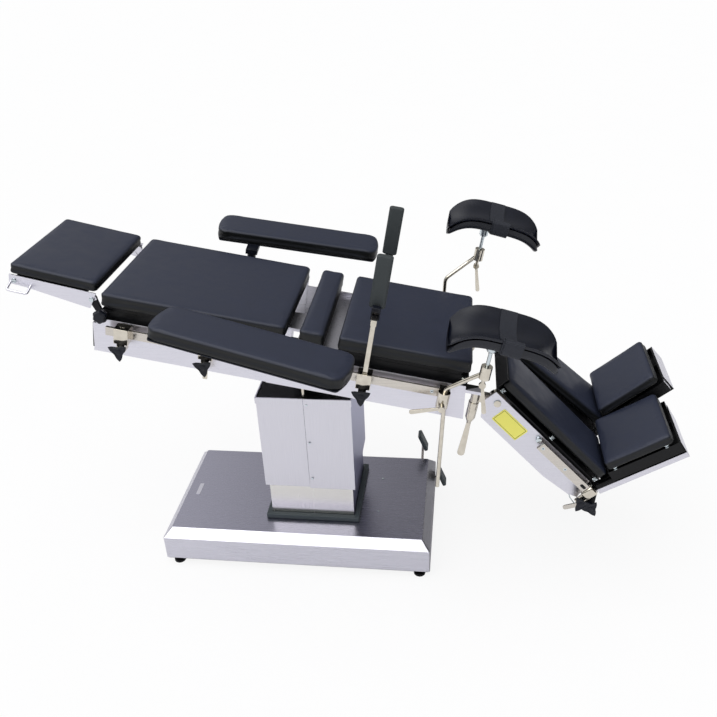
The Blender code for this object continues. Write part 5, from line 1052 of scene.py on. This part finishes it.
def cornered_knob(centre, axis, size, spin, neck):
    """A moulded three-cornered knob: a skirt that flares to its rim, a dished face and a neck.

    Its radius at an angle falls from the corner by half the sine of the angle to the corner,
    taken three times over the round, which leaves hollow sides between pointed corners. The
    hollow fades out towards the neck and towards the middle of the face.
    """
    start = -neck / KNOB_THICK
    profile = np.array([(0.15, start, 0), (0.26, start, 0), *KNOB_PROFILE])
    hollow = abs(np.sin(1.5 * (around(KNOB_COUNT) - spin))) ** 0.9
    stretch = 1 - KNOB_HOLLOW * profile[:, 2:] * hollow
    size = (size, KNOB_THICK)
    return lathe(profile[:, :2] * size, centre, axis, KNOB_COUNT, stretch)


class TABLE_OT_mould_knobs(TableStep):
    """Mould the clamps' three-cornered knobs and finish the head lock's star knob"""

    bl_idname = "table.mould_knobs"
    bl_label = "Mould the Knobs"

    def execute(self, context):
        for node, shown in frame["nodes"].items():
            name = plain_name(node)
            if name in KNOB_SPIN:
                self.mould(node, name)
            elif name.endswith("knob"):
                dress(shown, "knob", STAR_KNOB_EDGE)
        return {"FINISHED"}

    def mould(self, node, name):
        """A moulding in the place of a packed knob: its joint gives the back of its head."""
        joint = next(joint for joint in frame["joints"] if joint["child"] == node)
        centre = np.array(joint["pos_m"])
        sign = math.copysign(1, centre[1])
        low, high = LEVEL.box(node)
        neck = abs(centre[1]) - min(abs(low[1]), abs(high[1]))
        size = SMALL_KNOB_SIZE if name == "foot_knob" else KNOB_SIZE
        part = cornered_knob(centre, (0, sign, 0), size, math.radians(KNOB_SPIN[name]), neck)
        piece(f"{node}_moulding", [part], node, "knob", (node,), smooth=50)


# A support pad's bracket: its two ears and its plate, from corner to corner, and their edges
BRACKET = (
    ((-0.0145, -0.010, -0.011), (-0.0098, 0.010, 0.030), 0.003, 0.001),
    ((0.0098, -0.010, -0.011), (0.0145, 0.010, 0.030), 0.003, 0.001),
    ((-0.0145, -0.012, 0.0150), (0.0145, 0.010, 0.032), 0.003, 0.002),
)
CUSHION_SHIFT, CUSHION_HALF, CUSHION_START = 0.026, 0.012, 0.018
CUSHION_EDGES = (0.009, 0.006, 48)


class TABLE_OT_form_supports(TableStep):
    """Make the body supports' foam pads and their ratchet brackets"""

    bl_idname = "table.form_supports"
    bl_label = "Form the Body Supports"

    def execute(self, context):
        for side, sign in SIDES.items():
            node, section = f"support_pad_{side}", SUPPORTS[side]
            low, high = section.box(node)
            parts = [moved(soft_box(*box), section.place) for box in BRACKET]
            middle = -sign * CUSHION_SHIFT
            low = (low[0], middle - CUSHION_HALF, CUSHION_START)
            high = (high[0], middle + CUSHION_HALF, high[2])
            pad = soft_box(low, high, *CUSHION_EDGES)
            piece(f"support_bracket_{side}", parts, node, "knob")
            made = piece(
                f"support_cushion_{side}", [moved(pad, section.place)], node, "support",
                (node,),
            )
        return {"FINISHED"}


# Small fittings, placed in metres of the section that carries them


def plate(section, centre, half, corner, low, high, across=1):
    """A flat plate with rounded corners, lying square to one of the section's axes."""
    outline = rounded_outline(half[0], half[1], corner, 64) + centre
    rings = np.zeros((2, 64, 3))
    rings[:, :, [axis for axis in range(3) if axis != across]] = outline
    rings[0, :, across], rings[1, :, across] = low, high
    return moved(skin(rings), section.place)


def button(section, spot, aim, radius, height, count=24):
    """A round head standing at a spot: a short side, a rounded shoulder and a flat top."""
    edge = min(height * 0.5, radius * 0.3)
    shoulder = (radius - edge * 0.3, height - edge * 0.3)
    profile = [(radius, 0), (radius, height - edge), shoulder, (radius - edge, height)]
    return lathe(profile, section.place(spot), section.aim(aim), count)


def stud(section, spot, height, radius):
    """A stud from below: a thin stem, a wide washer and a six-sided nut under what it carries."""
    up = (0, 0, 1)
    top = section.place((spot[0], spot[1], spot[2] + height * 0.42))
    return [
        button(section, spot, up, radius * 0.55, height * 0.96),
        button(section, spot, up, radius * 1.1, height * 0.16),
        lathe([(radius, 0), (radius, height * 0.52)], top, section.aim(up), 6),
    ]


def stud_row(section, sign, row, height, radius):
    """Studs along one side: a row is their places along it, its distance across and its level."""
    places, side, level = row
    found = [stud(section, (u, sign * side, level), height, radius) for u in places]
    return sum(found, [])


def flush_screws(section, spots, level, radius):
    """Countersunk screws set flush in the rails: their bright rings, and in each a thin dark
    six-sided disc, painted shade in the screw's socket.
    """
    rings, socket_shades = [], []
    for u, sign in spots:
        aim, face = (0, sign, 0), RAIL_OUTSIDE
        rings.append(button(section, (u, sign * face, level), aim, radius, SCREW_RISE))
        spot = (u, sign * (face + SOCKET_LIFT), level)
        socket_shades.append(button(section, spot, aim, radius * 0.4, SOCKET_RISE, 6))
    return rings, socket_shades


def sided_box(section, sign, low, high, *edges):
    """A soft box between two corners that are given for the far side, on either side."""
    across = sorted((sign * low[1], sign * high[1]))
    low, high = (low[0], across[0], low[2]), (high[0], across[1], high[2])
    return moved(soft_box(low, high, *edges), section.place)


RAIL_OUTSIDE = 0.2850
# the dark discs in the screws are painted shade in their socket recesses
SCREW_RISE, SOCKET_LIFT, SOCKET_RISE = 0.0002, 0.0001, 0.00018
PANEL_OUTSIDE = 0.2600
HEAD_WALL = 0.2220
HEAD_BOLTS, HEAD_BOLT_SIZE = ((-0.2614, 0.0045), (0.0, 0.0)), (0.0085, 0.004)
BACK_SCREWS, SEAT_SCREWS, DECK_SCREW_LEVEL = (-0.588, -0.120), (-0.008, 0.150, 0.447), -0.051
SEAT_STUDS, SEAT_STUD_HEIGHT = ((0.543,), 0.243, -0.0210), 0.0200
NAME_PLATE, NAME_PLATE_THICK = ((-0.433, -0.0155), (0.008, 0.034), 0.002), 0.0008
BASE_TOP = 0.1330
BASE_SCREWS = ((0.300, 0.101), (0.300, -0.101))
COLUMN_SCREWS, COLUMN_SCREW_LINE = (0.651, 0.488, 0.329), (0.068, -0.167)
SMALL_SCREW = (0.0045, 0.0012)
LEG_BOLTS = (((0, 0.0), 0.013, 0.003), ((0.193, 0.010), 0.010, 0.012))
LEG_SCREWS, LEG_SCREW_LEVEL = (0.2182, 0.330), 0.006
# the rail's slot is drawn as a thin black oval: painted shade in its opening
LEG_SLOT, LEG_SLOT_RISE = ((0.424, 0.006), (0.012, 0.0055), 0.0054), 0.0003
LEG_STUDS = ((-0.020, 0.225, 0.448), 0.2465, 0.0366)
FOOT_STUDS = ((0.112, 0.292), 0.250, 0.0551)
END_CASTING = ((0.4415, 0.2625, -0.020), (0.4800, 0.2900, 0.026), 0.009, 0.006, 48)
END_LUG = ((0.4560, 0.2650, -0.056), (0.4840, 0.2800, -0.012), 0.007, 0.004, 48)
END_KNOB, END_KNOB_NECK = (0.471, 0.2830, -0.040), 0.0030
RELEASE_ROD = ((0.430, 0.232, -0.060), (0.470, 0.232, -0.078), (0.508, 0.232, -0.084))
RELEASE_ROD_RADIUS = 0.002
TRAY_END = ((0.4525, 0.030, 0.0330), (0.4900, 0.228, 0.0362), 0.004, 0.0008)
TRAY_NOSE = ((0.0420, 0.030, 0.0140), (0.0835, 0.228, 0.0165), 0.004, 0.0008)
LABEL_CENTRE, LABEL_HALF, LABEL_THICK = (0.089, -0.024), (0.058, 0.0285), 0.0008
LABEL_LINE, LABEL_LINE_HALF, LABEL_LINE_SPAN = (0.053, 0.0235), 0.0006, (0.0007, 0.0010)


def bright(name, parts, body):
    """Small parts with bright zinc plate."""
    piece(name, parts, body, "zinc", smooth=35)


def dark(name, parts, body):
    """Small parts of black steel."""
    piece(name, parts, body, "black steel")


def fit_deck(settings):
    """Screws in the seat's and the back's rails, and the seat pad's studs."""
    for body, places in (("back", BACK_SCREWS), ("table", SEAT_SCREWS)):
        spots = [(u, sign) for sign in SIDES.values() for u in places]
        rings, socket_shades = flush_screws(DECK, spots, DECK_SCREW_LEVEL, settings.screw)
        bright(f"rail_screws_{body}", rings, body)
        # the dark discs are painted shade in the screws' socket recesses
        dark(f"rail_socket_shades_{body}", socket_shades, body)
    rows = [
        stud_row(DECK, sign, SEAT_STUDS, SEAT_STUD_HEIGHT, settings.stud)
        for sign in SIDES.values()
    ]
    bright("seat_studs", sum(rows, []), "table")


def fit_base():
    """The bare name plate and the small screws of the column and the base."""
    levels = BASE_TOP, BASE_TOP + NAME_PLATE_THICK
    name_plate = plate(LEVEL, *NAME_PLATE, *levels, across=2)
    piece("base_name_plate", [name_plate], "base", "plate")
    line = COLUMN_SCREW_LINE
    screws = [button(LEVEL, (*line, z), (0, -1, 0), *SMALL_SCREW) for z in COLUMN_SCREWS]
    bright("column_screws", screws, "lift")
    caps = [button(LEVEL, (*spot, BASE_TOP), (0, 0, 1), *SMALL_SCREW) for spot in BASE_SCREWS]
    bright("base_screws", caps, "base")


def fit_leg(side, sign, settings):
    """A leg's hinge bolt, its pad's studs and its rail's screws."""
    section, body, face = LEGS[side], f"leg_{side}", sign * RAIL_OUTSIDE
    parts = [
        button(section, (u, sign * PANEL_OUTSIDE, w), (0, sign, 0), *size)
        for (u, w), *size in LEG_BOLTS
    ]
    parts += stud_row(section, sign, LEG_STUDS, STUD_ROOM, settings.stud)
    bright(f"leg_bolts_{side}", parts, body)
    spots = [(u, sign) for u in LEG_SCREWS]
    rings, socket_shades = flush_screws(section, spots, LEG_SCREW_LEVEL, settings.screw)
    bright(f"leg_rail_screws_{side}", rings, body)
    # the slot is a thin black oval on the rail, painted shade in its opening, and it joins the
    # screws' painted shade
    slot = plate(section, *LEG_SLOT, face, face + sign * LEG_SLOT_RISE)
    dark(f"leg_rail_sockets_{side}", [*socket_shades, slot], body)


def fit_leg_end(side, sign):
    """The clamp and knob at the end of a leg's rail, the thin rod and the tray's folded end."""
    section, body, mirror = LEGS[side], f"leg_{side}", (1, sign, 1)
    parts = [sided_box(section, sign, *box) for box in (END_CASTING, END_LUG)]
    piece(f"leg_end_clamp_{side}", parts, body, "chrome", smooth=40)
    centre = section.place(np.array(END_KNOB) * mirror)
    knob = cornered_knob(centre, (0, sign, 0), SMALL_KNOB_SIZE, 0.0, END_KNOB_NECK)
    piece(f"leg_end_knob_{side}", [knob], body, "knob", smooth=50)
    rod = tube(section.place(np.array(RELEASE_ROD) * mirror), RELEASE_ROD_RADIUS)
    piece(f"leg_release_rod_{side}", [rod], body, "zinc")
    dark(f"leg_tray_end_{side}", [sided_box(section, sign, *TRAY_END)], body)


def fit_foot(side, sign, settings):
    """The foot tray's folded nose and the foot pad's studs."""
    section, body = FEET[side], f"foot_{side}"
    dark(f"foot_tray_nose_{side}", [sided_box(section, sign, *TRAY_NOSE)], body)
    parts = stud_row(section, sign, FOOT_STUDS, STUD_ROOM, settings.stud)
    bright(f"foot_studs_{side}", parts, body)


def fit_label(section, body, sign):
    """A blank yellow plate with a thin dark line near its edge."""
    (u, w), (half_u, half_w), line = LABEL_CENTRE, LABEL_LINE, LABEL_LINE_HALF
    wall, outside, *levels = (
        sign * (PANEL_OUTSIDE + rise) for rise in (0, LABEL_THICK, *LABEL_LINE_SPAN)
    )
    yellow = plate(section, LABEL_CENTRE, LABEL_HALF, 0.003, wall, outside)
    piece("leg_blank_plate", [yellow], body, "yellow")
    level, upright = (half_u, line), (line, half_w + 0.0004)
    spots = [((u, w - half_w), level), ((u, w + half_w), level)]
    spots += [((u - half_u, w), upright), ((u + half_u, w), upright)]
    border = [plate(section, *spot, 0.0004, *levels) for spot in spots]
    piece("leg_blank_plate_border", border, body, "black steel")


class TABLE_OT_add_fittings(TableStep):
    """Add the screws, studs, bolts, the blank plates and the leg rails' end clamps"""

    bl_idname = "table.add_fittings"
    bl_label = "Add the Small Fittings"

    def execute(self, context):
        settings = context.scene.table_fittings
        fit_deck(settings)
        fit_base()
        for side, sign in SIDES.items():
            fit_leg(side, sign, settings)
            fit_leg_end(side, sign)
            fit_foot(side, sign, settings)
            if side == "near":
                fit_label(LEGS[side], f"leg_{side}", sign)
            bolts = [
                button(HEAD, (u, sign * HEAD_WALL, w), (0, sign, 0), *HEAD_BOLT_SIZE)
                for u, w in HEAD_BOLTS
            ]
            bright(f"head_bolts_{side}", bolts, "head")
        return {"FINISHED"}


# The studio


CAMERA_PLACE = (0.5979, -2.4923, 2.175)
CAMERA_TURN = math.radians(8.2635)
CAMERA_RISE = math.radians(29.5099)
CAMERA_ROLL = math.radians(-2.6707)
CAMERA_LENS = 40.52
CAMERA_SENSOR = 36
FLOOR_CORNERS = ((-1, -1), (1, -1), (1, 1), (-1, 1))
FLOOR_REACH = 60.0
FLOOR_GLOW = 0.88
LAMP_SPREAD = math.radians(70)
LAMP_TURN = (math.radians(20), math.radians(-14), 0)
WHITE = (1, 1, 1, 1)


def studio_floor(colour):
    """A pale floor that the camera sees almost white, with a trace of the table's shadow left."""
    cells, rough = (3, 3, 3), (0.7, 0.8)
    made, tree, shader = patterned("pale studio floor", colour, "#f8f8fa", rough, cells, 0.0)
    seen = add(tree, "ShaderNodeLightPath").outputs["Is Camera Ray"]
    times = {"operation": "MULTIPLY"}
    share = add(tree, "ShaderNodeMath", times, {1: FLOOR_GLOW}, {0: seen}).outputs["Value"]
    white = add(tree, "ShaderNodeEmission", None, {"Color": WHITE}).outputs["Emission"]
    links = {0: share, 1: shader.outputs["BSDF"], 2: white}
    mixed = add(tree, "ShaderNodeMixShader", links=links)
    output = next(node for node in tree.nodes if node.type == "OUTPUT_MATERIAL")
    tree.links.new(mixed.outputs["Shader"], output.inputs["Surface"])
    return made


def pale_room(strength):
    """An even light from all round, which mirrors see dark near the horizon and to the right."""
    world = bpy.data.worlds.new("pale room")
    world.use_nodes = True
    tree = world.node_tree
    tree.nodes.clear()
    ray = add(tree, "ShaderNodeLightPath").outputs
    place = add(tree, "ShaderNodeTexCoord").outputs["Generated"]
    height = add(tree, "ShaderNodeSeparateXYZ", links={"Vector": place}).outputs
    walls = spread(tree, height["Z"], (0.16, 0.40), (0.10, 1.0))
    window = spread(tree, height["X"], (-0.42, -0.06), (1.0, 0.32))
    room = add(tree, "ShaderNodeMath", {"operation": "MULTIPLY"}, None, {0: walls, 1: window})
    room = {"Factor": ray["Is Glossy Ray"], "B": room.outputs["Value"]}
    mirrored = add(tree, "ShaderNodeMix", None, {"A": strength}, room).outputs["Result"]
    seen = {"Factor": ray["Is Camera Ray"], "A": mirrored}
    light = add(tree, "ShaderNodeMix", None, {"B": 1.0}, seen).outputs["Result"]
    sky = add(tree, "ShaderNodeBackground", None, {"Color": WHITE}, {"Strength": light})
    add(tree, "ShaderNodeOutputWorld", links={"Surface": sky.outputs["Background"]})
    return world


def camera_matrix():
    """The camera at the photograph's angle: it looks along its own -Z, rolled about that line."""
    turn, rise, roll = CAMERA_TURN, CAMERA_RISE, CAMERA_ROLL
    level = math.cos(rise)
    back = Vector((math.sin(turn) * level, -math.cos(turn) * level, math.sin(rise)))
    right = (-back).cross(Vector((0, 0, 1))).normalized()
    up = right.cross(-back)
    x = right * math.cos(roll) + up * math.sin(roll)
    y = -right * math.sin(roll) + up * math.cos(roll)
    matrix = Matrix((x, y, back)).transposed().to_4x4()
    matrix.translation = CAMERA_PLACE
    return matrix


class TABLE_OT_set_stage(TableStep):
    """Set up the floor, the light and the camera"""

    bl_idname = "table.set_stage"
    bl_label = "Set the Stage"

    def execute(self, context):
        settings = context.scene.table_studio
        scene = context.scene
        scene.view_settings.view_transform = "Standard"
        camera = bpy.data.cameras.new("photograph")
        camera.lens = CAMERA_LENS
        camera.sensor_width = CAMERA_SENSOR
        scene.camera = shown_as("photograph", camera)
        scene.camera.matrix_world = camera_matrix()
        corners = [(x * FLOOR_REACH, y * FLOOR_REACH, FLOOR_LEVEL) for x, y in FLOOR_CORNERS]
        mesh = mesh_of("floor", corners, [(0, 1, 2, 3)])
        mesh.materials.append(studio_floor(settings.floor))
        shown_as("floor", mesh)
        sun = bpy.data.lights.new("overhead softbox", "SUN")
        sun.energy = settings.lamp
        sun.angle = LAMP_SPREAD
        shown_as("overhead softbox", sun).rotation_euler = LAMP_TURN
        scene.world = pale_room(settings.world)
        return {"FINISHED"}


STEPS = (
    TABLE_OT_finish_frames,
    TABLE_OT_stuff_pads,
    TABLE_OT_form_troughs,
    TABLE_OT_mould_knobs,
    TABLE_OT_form_supports,
    TABLE_OT_add_fittings,
    TABLE_OT_set_stage,
)


class VIEW3D_PT_table(Panel):
    """Lists the steps that dress the table, and their sizes"""

    bl_label = "Operating Table"
    bl_space_type = "VIEW_3D"
    bl_region_type = "UI"
    bl_category = "Table"

    def draw(self, context):
        for step in STEPS:
            self.layout.operator(step.bl_idname)
        scene = context.scene
        for group in (scene.table_pads, scene.table_fittings, scene.table_studio):
            for name in group.bl_rna.properties.keys():
                if name not in ("rna_type", "name"):
                    self.layout.prop(group, name)


SETTINGS = {
    "table_pads": PadSettings,
    "table_fittings": FittingSettings,
    "table_studio": StudioSettings,
}


def register():
    for name, group in SETTINGS.items():
        bpy.utils.register_class(group)
        setattr(bpy.types.Scene, name, PointerProperty(type=group))
    for step in STEPS:
        bpy.utils.register_class(step)
    bpy.utils.register_class(VIEW3D_PT_table)


def unregister():
    bpy.utils.unregister_class(VIEW3D_PT_table)
    for step in reversed(STEPS):
        bpy.utils.unregister_class(step)
    for name, group in reversed(SETTINGS.items()):
        delattr(bpy.types.Scene, name)
        bpy.utils.unregister_class(group)


def main():
    register()
    bpy.ops.table.finish_frames()
    bpy.ops.table.stuff_pads()
    bpy.ops.table.form_troughs()
    bpy.ops.table.mould_knobs()
    bpy.ops.table.form_supports()
    bpy.ops.table.add_fittings()
    bpy.ops.table.set_stage()


if __name__ == "__main__":
    main()
